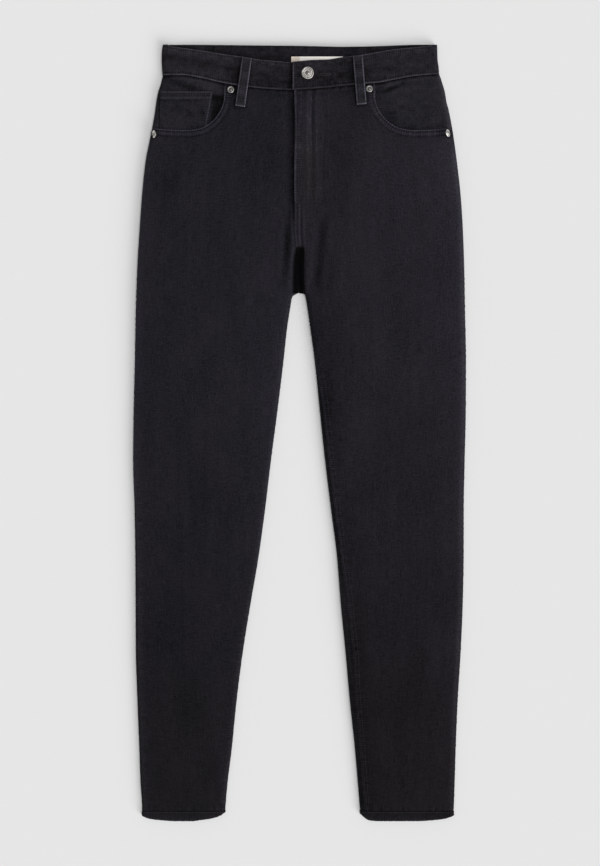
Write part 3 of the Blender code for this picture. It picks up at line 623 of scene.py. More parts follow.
def denim(name, base, weave=1.0, darker_to_hems=1.0, edge=1.0, ripple_by=0.26, blotch=0.0, rust=False):
    """Washed black twill: warp slubs, a fine diagonal, mottled wear, and along
    seams the light edge and the ripple of the stitching; each point also brings its
    wear and painted light and shade."""
    mat, tree, shader = nodes_of(name)
    g = Graph(tree)
    cloth = g.node("ShaderNodeUVMap", uv_map="cloth").outputs["UV"]
    place = g.node("ShaderNodeTexCoord").outputs["Object"]
    wear_and_shade = g.node("ShaderNodeAttribute", attribute_name="wear_and_shade").outputs["Fac"]
    seam = g.node("ShaderNodeAttribute", attribute_name="seam").outputs["Vector"]
    split = g.node("ShaderNodeSeparateXYZ")
    g.feed(split.inputs[0], seam)
    along, away, strong = split.outputs

    # weave
    warp = g.noise(g.stretch(cloth, (1350.0, 62.0, 1.0)), 1.0, 3.0, 0.6)
    weft = g.noise(g.stretch(cloth, (70.0, 1500.0, 1.0)), 1.0, 3.0, 0.6)
    grain = g.noise(g.stretch(place, (760.0, 760.0, 760.0)), 1.0, 2.0, 0.7)
    fleck = g.noise(g.stretch(cloth, (430.0, 330.0, 1.0)), 1.0, 4.0, 0.65)
    dot = g.node("ShaderNodeVectorMath", operation="DOT_PRODUCT")
    g.feed(dot.inputs[0], cloth)
    dot.inputs[1].default_value = (2 * math.pi / 0.00105, 2 * math.pi / 0.0019, 0.0)
    line = g.math("SINE", g.math("ADD", dot.outputs["Value"], g.math("MULTIPLY", fleck, 5.0)))
    # wear in the large
    broad = g.noise(g.stretch(place, (21.0, 13.0, 21.0)), 1.0, 3.0, 0.55)
    streak = g.noise(g.stretch(cloth, (120.0, 7.0, 1.0)), 1.0, 3.0, 0.55)
    spread = g.math("ADD", g.math("MULTIPLY", g.math("SUBTRACT", warp, 0.5), 0.75 * weave),
                    g.math("MULTIPLY", g.math("SUBTRACT", weft, 0.5), 0.75 * weave))
    spread = g.math("ADD", spread, g.math("MULTIPLY", g.math("SUBTRACT", grain, 0.5), 0.85 * weave))
    spread = g.math("ADD", spread, g.math("MULTIPLY", g.math("SUBTRACT", fleck, 0.5), 0.55 * weave))
    spread = g.math("ADD", spread, g.math("MULTIPLY", line, 0.10))
    spread = g.math("ADD", spread, g.math("MULTIPLY", g.math("SUBTRACT", broad, 0.5), 0.32))
    spread = g.math("ADD", spread, g.math("MULTIPLY", g.math("SUBTRACT", streak, 0.5), 0.22))
    # along the seams
    wobble = g.noise(g.stretch(seam, (0.16, 0.0, 0.0)), 1.0, 2.0, 0.5)
    phase = g.math("ADD", g.math("MULTIPLY", along, 2 * math.pi / 3.0), g.math("MULTIPLY", wobble, 9.0))
    ripple = g.math("SINE", phase)
    level = g.noise(g.stretch(seam, (0.09, 0.0, 0.0)), 1.0, 2.0, 0.5)
    level = g.span(level, 0.36, 0.66, 0.25, 1.0)
    near = g.math("MULTIPLY", strong, g.span(away, 7.0, 11.0, 1.0, 0.0))
    rippled = g.math("MULTIPLY", g.math("MULTIPLY", ripple, near), level)
    lip = g.math("MULTIPLY", g.math("MULTIPLY", strong, strong), g.span(away, 0.8, 2.1, 1.0, 0.0))
    lip = g.math("MULTIPLY", lip, g.math("ADD", g.math("MULTIPLY", level, 0.62), g.math("ADD", 0.30, g.math("MULTIPLY", ripple, 0.14))))
    total = g.math("ADD", 1.0, g.math("MULTIPLY", spread, 2.1))
    total = g.math("ADD", total, g.math("MULTIPLY", rippled, ripple_by))
    total = g.math("ADD", total, g.math("MULTIPLY", lip, 3.3 * edge))
    total = g.math("ADD", total, g.math("MULTIPLY", near, 0.08 * edge))
    if blotch:
        cloud = g.noise(g.stretch(place, (92.0, 120.0, 92.0)), 1.0, 4.0, 0.62)
        total = g.math("ADD", total, g.math("MULTIPLY", g.math("SUBTRACT", cloud, 0.5), blotch))
    # positive values, wear and painted light, show on the raised threads first; negative values, mostly painted shade,
    # darken the cloth evenly
    tooth = g.math("ADD", -0.9, g.math("MULTIPLY", g.math("ADD", fleck, grain), 1.9))
    total = g.math("ADD", total, g.math("MULTIPLY", g.math("MAXIMUM", wear_and_shade, 0.0), tooth))
    total = g.math("ADD", total, g.math("MINIMUM", wear_and_shade, 0.0))
    # the legs are darker towards the hems
    spot = g.node("ShaderNodeSeparateXYZ")
    g.feed(spot.inputs[0], place)
    lower = g.node("ShaderNodeValToRGB")
    ramp = lower.color_ramp
    ramp.interpolation = "EASE"
    ramp.elements[0].position = 0.0
    ramp.elements[0].color = (0.70, 0.68, 0.63, 1)
    ramp.elements[1].position = 1.0
    ramp.elements[1].color = (1, 1, 1, 1)
    for at, r, gr, b in ((0.13, 0.74, 0.715, 0.665), (0.24, 0.82, 0.80, 0.76), (0.40, 0.95, 0.935, 0.92),
                         (0.62, 1.02, 1.02, 1.02), (0.80, 1.0, 1.0, 1.0)):
        e = ramp.elements.new(at)
        e.color = (r, gr, b, 1)
    g.feed(lower.inputs[0], g.span(spot.outputs[1], -0.504, 0.504, smooth=False))
    total = g.math("MULTIPLY", total, g.span(spot.outputs[0], -0.2, 0.2, 0.955, 1.045))
    total = g.math("MAXIMUM", total, 0.12)
    warm = g.span(broad, 0.35, 0.7)
    colour = g.mix(warm, tuple(base) + (1,), (base[0] * 1.025, base[1] * 1.0, base[2] * 0.98, 1))
    colour = g.tint(colour, total)
    if rust:
        # the fly has washed out a little brown
        mask = g.math("MULTIPLY", g.span(spot.outputs[0], -0.010, 0.014), g.span(spot.outputs[0], 0.014, 0.040, 1.0, 0.0))
        mask = g.math("MULTIPLY", mask, g.span(spot.outputs[1], 0.255, 0.315))
        mask = g.math("MULTIPLY", mask, g.span(spot.outputs[1], 0.345, 0.405, 1.0, 0.0))
        stain = g.node("ShaderNodeVectorMath", operation="MULTIPLY")
        g.feed(stain.inputs[0], colour)
        stain.inputs[1].default_value = (1.0, 0.96, 0.86)
        colour = g.mix(mask, colour, stain.outputs[0])
    if darker_to_hems:
        both = g.node("ShaderNodeVectorMath", operation="MULTIPLY")
        g.feed(both.inputs[0], colour)
        g.feed(both.inputs[1], lower.outputs[0])
        colour = both.outputs[0]
    g.feed(shader.inputs["Base Color"], colour)
    shader.inputs["Roughness"].default_value = 0.93
    shader.inputs["Specular IOR Level"].default_value = 0.07
    shader.inputs["Sheen Weight"].default_value = 0.02
    shader.inputs["Sheen Roughness"].default_value = 0.45
    shader.inputs["Sheen Tint"].default_value = (0.86, 0.86, 1.0, 1)
    height = g.math("ADD", g.math("MULTIPLY", line, 0.35), g.math("ADD", g.math("MULTIPLY", warp, 0.8), g.math("MULTIPLY", weft, 0.8)))
    n = g.bump(height, 0.55 * weave, 0.00022)
    n = g.bump(g.math("ADD", grain, fleck), 0.5 * weave, 0.0003, n)
    n = g.bump(rippled, 0.8, 0.0005, n)
    g.feed(shader.inputs["Normal"], n)
    return mat


def thread(name, colour):
    mat, tree, shader = nodes_of(name)
    g = Graph(tree)
    place = g.node("ShaderNodeTexCoord").outputs["Object"]
    fine = g.noise(g.stretch(place, (1500.0, 1500.0, 1500.0)), 1.0, 2.0, 0.6)
    patch = g.noise(g.stretch(place, (90.0, 90.0, 90.0)), 1.0, 2.0, 0.6)
    value = g.math("ADD", g.span(fine, 0.3, 0.7, 0.7, 1.2), g.span(patch, 0.3, 0.7, -0.25, 0.35))
    g.feed(shader.inputs["Base Color"], g.tint(tuple(colour), value))
    shader.inputs["Roughness"].default_value = 0.62
    shader.inputs["Specular IOR Level"].default_value = 0.3
    g.feed(shader.inputs["Normal"], g.bump(fine, 0.4, 0.0001))
    return mat


def metal(name, colour, rough, spots=0.3, centre=0.5):
    mat, tree, shader = nodes_of(name)
    g = Graph(tree)
    place = g.node("ShaderNodeTexCoord").outputs["Object"]
    cloud = g.noise(g.stretch(place, (420.0, 420.0, 420.0)), 1.0, 4.0, 0.6)
    fine = g.noise(g.stretch(place, (2600.0, 2600.0, 2600.0)), 1.0, 2.0, 0.6)
    value = g.span(cloud, 0.3, 0.75, 1.0 + 0.25 * spots, 1.0 - spots)
    ring = g.node("ShaderNodeAttribute", attribute_name="ring").outputs["Fac"]
    value = g.math("MULTIPLY", value, g.span(ring, 0.08, 0.34, centre, 1.0))
    value = g.math("MULTIPLY", value, g.math("ADD", 1.0, g.math("MULTIPLY", g.math("SINE", g.math("MULTIPLY", ring, 30.0)), 0.14)))
    value = g.math("MULTIPLY", value, g.span(ring, 0.66, 0.86, 1.0, 1.22))
    g.feed(shader.inputs["Base Color"], g.tint(tuple(colour), value))
    shader.inputs["Metallic"].default_value = 1.0
    g.feed(shader.inputs["Roughness"], g.span(cloud, 0.3, 0.8, rough, rough + 0.22))
    g.feed(shader.inputs["Normal"], g.bump(fine, 0.25, 0.00008))
    return mat


def tape(name):
    mat, tree, shader = nodes_of(name)
    g = Graph(tree)
    cloth = g.node("ShaderNodeUVMap", uv_map="cloth").outputs["UV"]
    rib = g.noise(g.stretch(cloth, (180.0, 2600.0, 1.0)), 1.0, 2.0, 0.5)
    cloud = g.noise(g.stretch(cloth, (90.0, 120.0, 1.0)), 1.0, 3.0, 0.5)
    value = g.math("ADD", g.span(rib, 0.3, 0.7, 0.90, 1.0), g.span(cloud, 0.3, 0.7, -0.04, 0.04))
    spot = g.node("ShaderNodeSeparateXYZ")
    g.feed(spot.inputs[0], cloth)
    end = g.span(spot.outputs[0], -0.0016, 0.0022)
    colour = g.mix(end, (0.72, 0.63, 0.55, 1), (1.0, 0.95, 0.90, 1))
    g.feed(shader.inputs["Base Color"], g.tint(colour, value))
    shader.inputs["Roughness"].default_value = 0.75
    shader.inputs["Specular IOR Level"].default_value = 0.25
    g.feed(shader.inputs["Normal"], g.bump(rib, 0.4, 0.00015))
    return mat


BLACK = (0.0131, 0.0124, 0.0167)
M_DENIM = denim("denim", BLACK)
M_DENIM_L = denim("denim_left", (0.0135, 0.0124, 0.0165), rust=True)
M_BAND = denim("denim_band", (0.0148, 0.0136, 0.0173), darker_to_hems=0, ripple_by=0.05, blotch=1.9)
M_TRIM = denim("denim_trim", (0.0147, 0.0138, 0.0176), darker_to_hems=0, ripple_by=0.06, blotch=1.2)
M_HEM = denim("denim_hem", (0.0094, 0.0086, 0.0108), darker_to_hems=0, ripple_by=0.10, blotch=0.8)
M_THREAD = thread("thread_black", (0.0170, 0.0160, 0.0195))
M_TONAL = thread("thread_tonal", (0.0128, 0.0120, 0.0150))
# a paler thread for the lighter stitch lines
M_PALE_THREAD = thread("thread_pale", (0.032, 0.030, 0.035))
M_BUTTON = metal("metal_button", (0.34, 0.325, 0.31), 0.34, centre=0.30)
M_RIVET = metal("metal_rivet", (0.235, 0.23, 0.222), 0.36, centre=0.34)
M_BRIGHT = metal("metal_side", (0.62, 0.60, 0.57), 0.34, centre=0.40)
M_LABEL = tape("label_tape")
SHEETS = []


def place_on(obj, nodes=(), flat=None, area=None, rests_on=()):
    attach(obj, "root")
    if nodes:
        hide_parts(*nodes)
    if flat:
        SHEETS.append((obj, flat, area, rests_on))
    return obj


# ---------------------------------------------- painted shadow, shade and light
LOOPS = (((-68.0, 17.8), (-77.0, 81.4)), ((75.4, 15.0), (80.6, 78.6)))


def painted_loop_shadow(x, d):
    """Painted shadows beside and below the loops."""
    dark = np.zeros(np.broadcast(x, d).shape)
    for (x0, d0), (x1, d1) in LOOPS:
        mid = x0 + (x1 - x0) * (d - d0) / (d1 - d0)
        tall = ease((d - d0 + 2.0) / 3.0) * ease((d1 + 3.0 - d) / 3.0)
        gap = np.maximum(mid - 6.0 - x, 0)
        left = (0.62 * np.exp(-(gap / 2.6) ** 2) + 0.42 * np.exp(-(gap / 9.0) ** 2)) * (x < mid)
        right = 0.55 * np.exp(-(np.maximum(x - mid - 6.0, 0) / 2.4) ** 2) * (x >= mid)
        below = np.exp(-(np.maximum(d - d1, 0) / 2.4) ** 2) * (np.abs(x - mid) < 7.4) * (d > d1 - 1)
        dark = np.maximum(dark, np.maximum(tall * (left + right), below))
    return dark


def painted_rivet_shadow(x, d):
    # painted shadow: a dark ring round each rivet
    dark = 0.0
    for x0, d0 in ((-89.3, 59.3), (90.6, 58.2), (-188.7, 117.4), (192.2, 116.2)):
        r = np.hypot(x - x0, d - d0)
        dark = dark + np.exp(-(np.maximum(r - 5.0, 0) / 1.9) ** 2)
    return dark


def leg_wear_light_and_shade(side, x, d):
    """Painted light and shade along the folds of the legs, with some wear, from |X|:
    light outer edges, partly painted light, and the left leg's inner side kept
    dark, painted shade on the fold's shaded side."""
    out = np.maximum(outer(side, d) - x, 0)
    into = np.maximum(x - np.where(is_leg(d), inner(side, d), 3.0), 0)
    low = ease((d - 230.0) / 90.0)
    if side == "L":
        tone = 0.62 * np.exp(-((out - 4.2) / 3.4) ** 2) + 0.58 * np.exp(-out / 14.0)
        tone = tone * ease((d - 118) / 30) * (1 - 0.35 * ease((d - 860) / 80))
        tone = tone * (1 - 0.35 * np.exp(-((d - 200.0) / 30.0) ** 2)) + 0.42 * np.exp(-out / 38.0) * np.exp(-((d - 175.0) / 50.0) ** 2)
        tone = tone + 0.13 * (1 - ease((d - 420) / 150)) * ease((d - 90) / 40) * ease((x - 50) / 40)
        dark = ease((d - 330) / 60)
        tone = tone - dark * (0.30 * np.exp(-(into / 22.0) ** 2) + 0.06)
        tone = tone - 0.26 * np.exp(-((into - 9.0) / 12.0) ** 2 - ((d - 462.0) / 42.0) ** 2)
        tone = tone - 0.18 * np.exp(-(into / 8.0) ** 2) * np.exp(-((d - 338.0) / 26.0) ** 2)
    else:
        tone = 1.0 * np.exp(-(out / 4.0) ** 2) + 0.2 * np.exp(-(out / 9.0) ** 2)
        tone = tone * ease((d - 118) / 30) * (1 - 0.65 * ease((d - 560) / 60))
        tone = tone + low * (0.36 * np.exp(-into / 24.0) + 0.26 * np.exp(-(into / 5.0) ** 2)) * (1 - 0.3 * ease((d - 500) / 150))
    return tone


def web_shade(x, d):
    """The deep gap between the legs never sees light or wear."""
    at, half = look(RISE, 2, d), look(RISE, 4, d)
    return ease((d - 261.0) / 7.0) * (1 - ease((np.abs(x - at - 0.5) - half - 1.4) / 1.6)) * (~is_leg(d))


# --------------------------------------------------------------- the fronts
def front_grid(side):
    """(around, drop) of a front's grid, and the counts of its column zones."""
    n1, n3 = 12, (46 if side == "L" else 26)
    wide = 36.0 if side == "L" else 15.0
    n_mouth, n_waist = 46, 26
    n2 = n_mouth + n_waist

    def full(drop):
        drop = float(drop)
        start = float(side_seam(side, drop)) + GAP / 2
        q = float(quarter(drop))
        if is_leg(drop):
            end = float(inner_edge(side, drop) - inseam(side, drop)) - GAP / 2
            pin = end - (wide if side == "L" else max(q, 12.0))
        else:
            centre = SIDE[side] * float(look(RISE, 1, drop))
            if side == "R":
                centre -= 4.5 * float(1 - ease((drop - 206.0) / 24.0))
            end = float(around_of(side, centre + GAP / 2, drop))
            pin = end - wide
        bend = max(q, start + 2.0)
        row = np.concatenate([
            np.linspace(start, bend, n1 + 1),
            np.linspace(bend, pin, n2 + 1)[1:],
            np.linspace(pin, end, n3 + 1)[1:],
        ])
        return row

    line = mouth_line(side)[::-1]
    run = along_line(line, [0])[1]
    mouth = along_line(line, np.linspace(0, run, n_mouth + 1))[0]
    last = mouth[0, 1]
    q = float(quarter(last))
    top_a = [np.linspace(GAP / 2, q, n1 + 1)]
    top_d = [np.full(n1 + 1, last)]
    top_a.append(around_of(side, mouth[1:, 0], mouth[1:, 1]))
    top_d.append(mouth[1:, 1])
    centre = SIDE[side] * float(look(RISE, 1, 50.0))
    if side == "R":
        centre -= 4.5
    xs = np.concatenate([
        np.linspace(MOUTH_START, centre + wide, n_waist + 1)[1:],
        np.linspace(centre + wide, centre + GAP / 2, n3 + 1)[1:],
    ])
    ds = front_seam(SIDE[side] * xs) + GAP / 2
    top_a.append(around_of(side, xs, ds))
    top_d.append(ds)
    top_a, top_d = np.concatenate(top_a), np.concatenate(top_d)

    base_d = 150.0
    base_a = full(base_d)
    length = np.hypot(base_a - top_a, base_d - top_d)
    rows = 30
    first = NEAR[:, None] / length[None, :]
    rest = np.linspace(0, 1, rows)[1:, None]
    share = np.concatenate([first, first[-1] + (1 - first[-1]) * rest])
    a = top_a + (base_a - top_a) * share
    d = top_d + (base_d - top_d) * share
    drops = np.concatenate([
        np.arange(153.0, 250.0, 3.0), np.arange(250.0, 321.0, 1.6), [322.0],
        [324.0, 325.2, 326.4, 328.0, 330.0], np.arange(332.0, 350.0, 2.0),
        np.arange(350.0, HEM_TOP - 18.0, 3.4),
        (HEM_TOP - GAP / 2) - NEAR[::-1],
    ])
    a = np.concatenate([a, [full(v) for v in drops]])
    d = np.concatenate([d, np.repeat(drops[:, None], a.shape[1], 1)])
    return a, d, n1, n2, n3


def front_panel(side):
    a, d, n1, n2, n3 = front_grid(side)
    p, n = wrap(side, a, d)
    start = side_seam(side, d) + GAP / 2
    leg = is_leg(d)
    x = p[..., 0] * SIDE[side]
    cf = SIDE[side] * look(RISE, 1, d)
    end = np.where(leg, inner_edge(side, d) - inseam(side, d), around_of(side, cf, d))
    from_side, from_in = a - start, end - a
    flatx = outer(side, d) - FOLD - (a - quarter(d))
    on_fold = a < quarter(d)
    probe = np.where(on_fold, outer(side, d) - FOLD + (quarter(d) - a), flatx)
    line = mouth_line(side)
    far = np.array([[outer(side, 109.8) + 8.0, 109.8]])
    to_mouth, s_mouth = from_line(stack(probe, d), np.concatenate([line, far]))
    to_waist = d - front_seam(p[..., 0])
    to_hem = HEM_TOP - d

    # relief beside the seams
    h = np.zeros_like(d)
    h += 0.45 * wave(s_mouth, 1.3, 6.4) * np.exp(-((to_mouth - 4.5) / 3.6) ** 2)
    h -= 0.28 * np.exp(-((to_mouth - 1.7) / 0.7) ** 2) + 0.28 * np.exp(-((to_mouth - 8.0) / 0.8) ** 2)
    h += 0.30 * np.exp(-((to_mouth - 4.8) / 2.2) ** 2)
    h += 0.30 * wave(p[..., 0], 2.1, 9.5) * np.exp(-((to_waist - 2.0) / 4.0) ** 2)
    h += np.where(d > 300, 0.42, 0.0) * wave(d, 0.7 + SIDE[side], 8.6) * np.exp(-((from_side - 2.5) / 4.0) ** 2)
    inside = np.where(leg, 0.42 * ease((d - 330) / 60), 0.0)
    h += inside * wave(d, 2.9 * SIDE[side], 7.8) * np.exp(-((from_in - 3.5) / 4.5) ** 2)
    h += np.where(leg, 0.22 * ease((d - 330) / 60), 0) * np.exp(-((from_in - 1.2) / 1.4) ** 2)
    h += 0.45 * wave(a * 1.0, 4.1 * SIDE[side], 10.0) * np.exp(-((to_hem - 2.0) / 5.0) ** 2)
    rise = (~leg) & (d > 205)
    up_to = np.where((~leg) & (d > 205), ease((d - 206.0) / 8.0) * (1 - ease((d - 252.0) / 8.0)), 0)
    if side == "L":
        up_to = np.where((~leg) & (d > 205), ease((d - 206.0) / 8.0) * (1 - ease((d - 259.0) / 7.0)), 0)
        h -= up_to * 0.55 * np.exp(-((from_in - 8.9) / 0.9) ** 2)
        streak_up = 0.75 * np.exp(-((from_in - 2.0) / 1.1) ** 2) + 0.75 * np.exp(-((from_in - 7.4) / 1.1) ** 2)
        h += up_to * (0.55 + 0.35 * wave(d, 0.4, 5.2)) * np.exp(-((from_in - 5.6) / 1.5) ** 2)
        h += up_to * (0.50 + 0.35 * wave(d, 2.4, 5.6)) * np.exp(-((from_in - 12.4) / 1.5) ** 2)
    # fly: the placket's edge, zip and facing edges press through
    streaks = np.zeros_like(d)
    if side == "L":
        on = (~leg) * (1 - ease((d - 196.0) / 16.0)) * ease((d - 56.0) / 6.0)
        xx = p[..., 0]
        for at, width, high in ((-5.2, 1.1, 0.35), (0.2, 1.0, -0.35), (10.5, 2.4, 0.55),
                                (17.2, 0.9, -0.3), (22.6, 1.6, 0.35), (31.5, 0.9, -0.35)):
            bend = at + 0.7 * np.sin(d / 17.0 + at)
            h += on * high * np.exp(-((xx - bend) / width) ** 2)
        beat = 0.5 + 0.5 * np.sin(d / 6.1 + 1.5 * np.sin(d / 19.0)) * np.sin(d / 13.0 + 0.7)
        begin = ease((d - 61.0) / 12.0)
        high_up = on * begin * (1 - 0.85 * ease((d - 122.0) / 34.0))
        for at, width, light, fall in (
            (-5.4, 1.3, 2.10, on), (-2.9, 0.8, -0.30, on), (0.4, 1.9, 0.45, on), (0.4, 1.9, 0.40, high_up),
            (5.5, 2.4, 0.35, high_up), (10.8, 2.0, 0.80, high_up), (14.6, 1.1, 1.55, high_up),
            (17.6, 0.9, -0.25, high_up), (22.0, 1.2, 0.75, high_up), (25.6, 1.1, 0.45, high_up),
            (29.5, 1.6, 0.30, high_up),
        ):
            bend = at + 0.5 * np.sin(d / 11.0 + at)
            streaks += fall * light * (0.25 + 1.0 * beat * (0.6 + 0.4 * np.sin(d / 2.3 + at))) * np.exp(-((xx - bend) / width) ** 2)
        streaks += 0.12 * on * ease((38.0 - xx) / 10.0) * ease((d - 110.0) / 30.0)
    p = p + n * h[..., None]

    # light and dark in the cloth's colour: wear on the fly, seams and ridges, darker in their hollows, painted shade in
    # the creases, and the legs' painted light and shade along their folds
    creased = crease_height(p[..., 0], d, FRONT_CREASES)
    wear_and_shade = streaks + 0.75 * h + 0.22 * creased + leg_wear_light_and_shade(side, x, d)
    if side == "L":
        wear_and_shade += up_to * (streak_up * (0.55 + 0.45 * wave(d, 1.9, 12.0)) - 0.35 * np.exp(-((from_in - 4.7) / 1.0) ** 2))
    # painted shadows beside the loops, round the rivets, in the gap between the legs and under the band's lower edge
    wear_and_shade -= 0.78 * painted_loop_shadow(p[..., 0], d) + 0.5 * painted_rivet_shadow(p[..., 0], d)
    wear_and_shade -= 2.2 * web_shade(p[..., 0], d)
    wear_and_shade -= 1.1 * np.exp(-(to_waist / 2.3) ** 2) * (d < 80)
    wear_and_shade += 0.40 * np.exp(-((to_waist - 4.6) / 1.1) ** 2) * (d < 80) * (0.5 + 0.5 * wave(p[..., 0], 0.6, 13.0))
    wear_and_shade -= 0.22 * np.exp(-((to_waist - 6.5) / 4.0) ** 2) * (d < 80)
    wear_and_shade -= 0.40 * np.exp(-((to_mouth - 2.8) / 0.8) ** 2) + 0.42 * np.exp(-((to_mouth - 9.0) / 0.9) ** 2)
    wear_and_shade += 0.34 * np.exp(-((to_mouth - 5.6) / 2.0) ** 2)
    if side == "R":
        # painted shadow of the raised fly on the right front beside its edge, partly unworn cloth
        gap = look(RISE, 1, d) - p[..., 0]
        closed = (1 - ease((d - 222.0) / 18.0)) * (~leg)
        wide = 0.34 * ease((d - 60) / 20) * np.exp(-(np.maximum(gap, 0) / 9.0) ** 4)
        wear_and_shade -= closed * (0.42 * np.exp(-(np.maximum(gap, 0) / 2.4) ** 2) + wide)
        wear_and_shade += up_to * 0.55 * np.exp(-((gap - 3.0) / 1.1) ** 2)
    wear_and_shade += np.where(side == "L", 1.0, 0.5) * 0.16 * np.exp(-((x - 8.0) / 10.0) ** 2) * rise * (1 - ease((d - 262) / 20))
    late = ease((d - 500) / 60) if side == "R" else ease((d - 520) / 120)
    fleck = 0.55 + 0.45 * wave(d, 1.0, 7.0)
    wear_and_shade += np.where(leg, late * (0.55 if side == "R" else 0.0), 0) * np.exp(-((from_in - 3.0) / 3.0) ** 2) * fleck
    down = ease((d - 470) / 80)
    wear_and_shade += down * (0.55 if side == "R" else 0.0) * np.exp(-((from_side - 3.0) / 3.2) ** 2) * (0.5 + 0.5 * wave(d, 2.0, 8.6))

    # which seam the fine ripple follows
    edges = [
        (to_mouth, s_mouth, np.where(to_mouth < 12, 1.0, 0.0)),
        (to_waist, p[..., 0] + 400, np.where(d < 130, 0.10, 0.0)),
        (from_in, d, np.where(leg, 0.5, np.where(d > 252, 0.0, np.where(d > 205, 0.25, 0.85 if side == "L" else 0.0)))),
        (from_side, d + 90, np.where(d > 300, 0.45, 0.1)),
        (to_hem, a, 0.25),
    ]
    seam = np.zeros(d.shape + (3,))
    best = np.full(d.shape, 1e9)
    for away, s, strong in edges:
        take = (away < best) & (away < 16) & (strong > 0)
        best = np.where(take, away, best)
        seam = np.where(take[..., None], stack(s, away, strong), seam)
    seam[..., 1] = np.where(best > 15, 99, seam[..., 1])

    roll = np.minimum(to_mouth, to_waist)
    roll = np.minimum(roll, np.where(leg, 9.0, from_in) if side == "L" else 9.0)
    roll = np.maximum(roll, 0)
    made = shell(f"cloth_front_{side}", p, n, CLOTH, stack(a * SIDE[side], d),
                 M_DENIM_L if side == "L" else M_DENIM, seam, wear_and_shade, roll=roll)
    flat, area = cut_of(a, d)
    place_on(made, [f"front_panel_{side}"], flat, area, (f"back_panel_{side}",))
    return made


# ------------------------------------------------------------ shared helpers
def cut_of(a, d):
    """Width and length (m) and area (m2) of a flat cut, from its places."""
    u, v = a[1:, 1:] - a[:-1, :-1], d[1:, 1:] - d[:-1, :-1]
    s, t = a[1:, :-1] - a[:-1, 1:], d[1:, :-1] - d[:-1, 1:]
    area = 0.5 * np.abs(u * t - v * s).sum() * MM * MM
    flat = (float(np.ptp(a)) * MM, float(np.ptp(d)) * MM)
    return flat, min(float(area), flat[0] * flat[1])


def nearest_edge(shape, edges, reach=16.0):
    """For each point the seam it lies by: distance along, away, strength."""
    seam = np.zeros(shape + (3,))
    seam[..., 1] = 99.0
    best = np.full(shape, 1e9)
    for away, along, strong in edges:
        strong = np.broadcast_to(np.asarray(strong, float), shape)
        take = (away < best) & (away < reach) & (strong > 0)
        best = np.where(take, away, best)
        seam = np.where(take[..., None], stack(along, away, strong), seam)
    return seam


def around_at(side, x, drop):
    """Distance round to |X| = x on the top face or on the outer fold."""
    centre = outer(side, drop) - FOLD
    bend = quarter(drop) * (2 / np.pi) * np.arccos(np.clip((x - centre) / FOLD, 0, 1))
    return np.where(x > centre, bend, around_of(side, x, drop))


def flat_points(x, drop, z):
    return stack(x, LENGTH / 2 - drop, z)


UP, DOWN = np.array([0, 0, 1.0]), np.array([0, 0, -1.0])


# ---------------------------------------------------------- backs and yokes
def back_columns(side, drop, n_fold=12, n_flat=52, n_in=26):
    drop = float(drop)
    q = float(quarter(drop))
    start = -float(side_seam(side, drop)) + GAP / 2
    if is_leg(drop):
        end = float(inner_edge(side, drop) + inseam(side, drop)) - GAP / 2
        pin = float(inner_edge(side, drop)) - q
    else:
        end = float(around_of(side, GAP / 2, drop))
        pin = end - 22.0
    return np.concatenate([
        np.linspace(start, q, n_fold + 1), np.linspace(q, pin, n_flat + 1)[1:],
        np.linspace(pin, end, n_in + 1)[1:],
    ])


def slant_row(side, drop_of, guess):
    """A row of places along a slanted seam."""
    base = back_columns(side, guess)
    q = float(quarter(guess))
    x = float(outer(side, guess)) - FOLD - (base - q)
    drop = drop_of(np.clip(x, 0, 183.0))
    a = np.where(base > q, around_of(side, x, drop), base)
    a[-1] = around_of(side, GAP / 2, drop[-1])
    return a, drop


def back_relief(side, a, d, edges):
    h = np.zeros_like(d)
    for away, along, strong in edges:
        h += 0.35 * strong * wave(along, 1.7 + SIDE[side], 8.0) * np.exp(-((away - 3.5) / 4.0) ** 2)
        h -= 0.25 * strong * np.exp(-((away - 1.8) / 0.8) ** 2)
    return h


BACK_CREASES = (
    (-70.0, 262.0, -22.0, 300.0, 3.0, 6.0, 0.9), (66.0, 268.0, 20.0, 304.0, -3.0, 6.0, 0.9),
    (-120.0, 300.0, -40.0, 338.0, 4.0, 9.0, 0.8), (116.0, 306.0, 42.0, 348.0, -4.0, 9.0, 0.8),
    (-150.0, 268.0, -96.0, 282.0, 2.0, 7.0, 0.6), (160.0, 272.0, 104.0, 288.0, -2.0, 7.0, 0.6),
    (-176.0, 560.0, -84.0, 586.0, 3.0, 8.0, 0.8), (170.0, 574.0, 80.0, 596.0, -3.0, 8.0, 0.8),
    (-168.0, 606.0, -92.0, 618.0, -2.0, 7.0, 0.6), (176.0, 622.0, 90.0, 634.0, 2.0, 7.0, 0.6),
    (-150.0, 700.0, -144.0, 910.0, 4.0, 14.0, 0.5), (136.0, 720.0, 140.0, 930.0, -4.0, 15.0, 0.5),
)


def under_relief(p, n, d, h):
    """Creases of an underside are hollows in it, so that it still rests."""
    dent = crease_height(p[..., 0], d, BACK_CREASES)
    flat = ease((-n[..., 2] - 0.6) / 0.4)
    up = np.maximum(0.55 - dent, 0) * flat * ease((d - 250) / 30)
    low = p + n * h[..., None]
    low[..., 2] = np.maximum(low[..., 2], 0.0) + up * 0.8
    return low


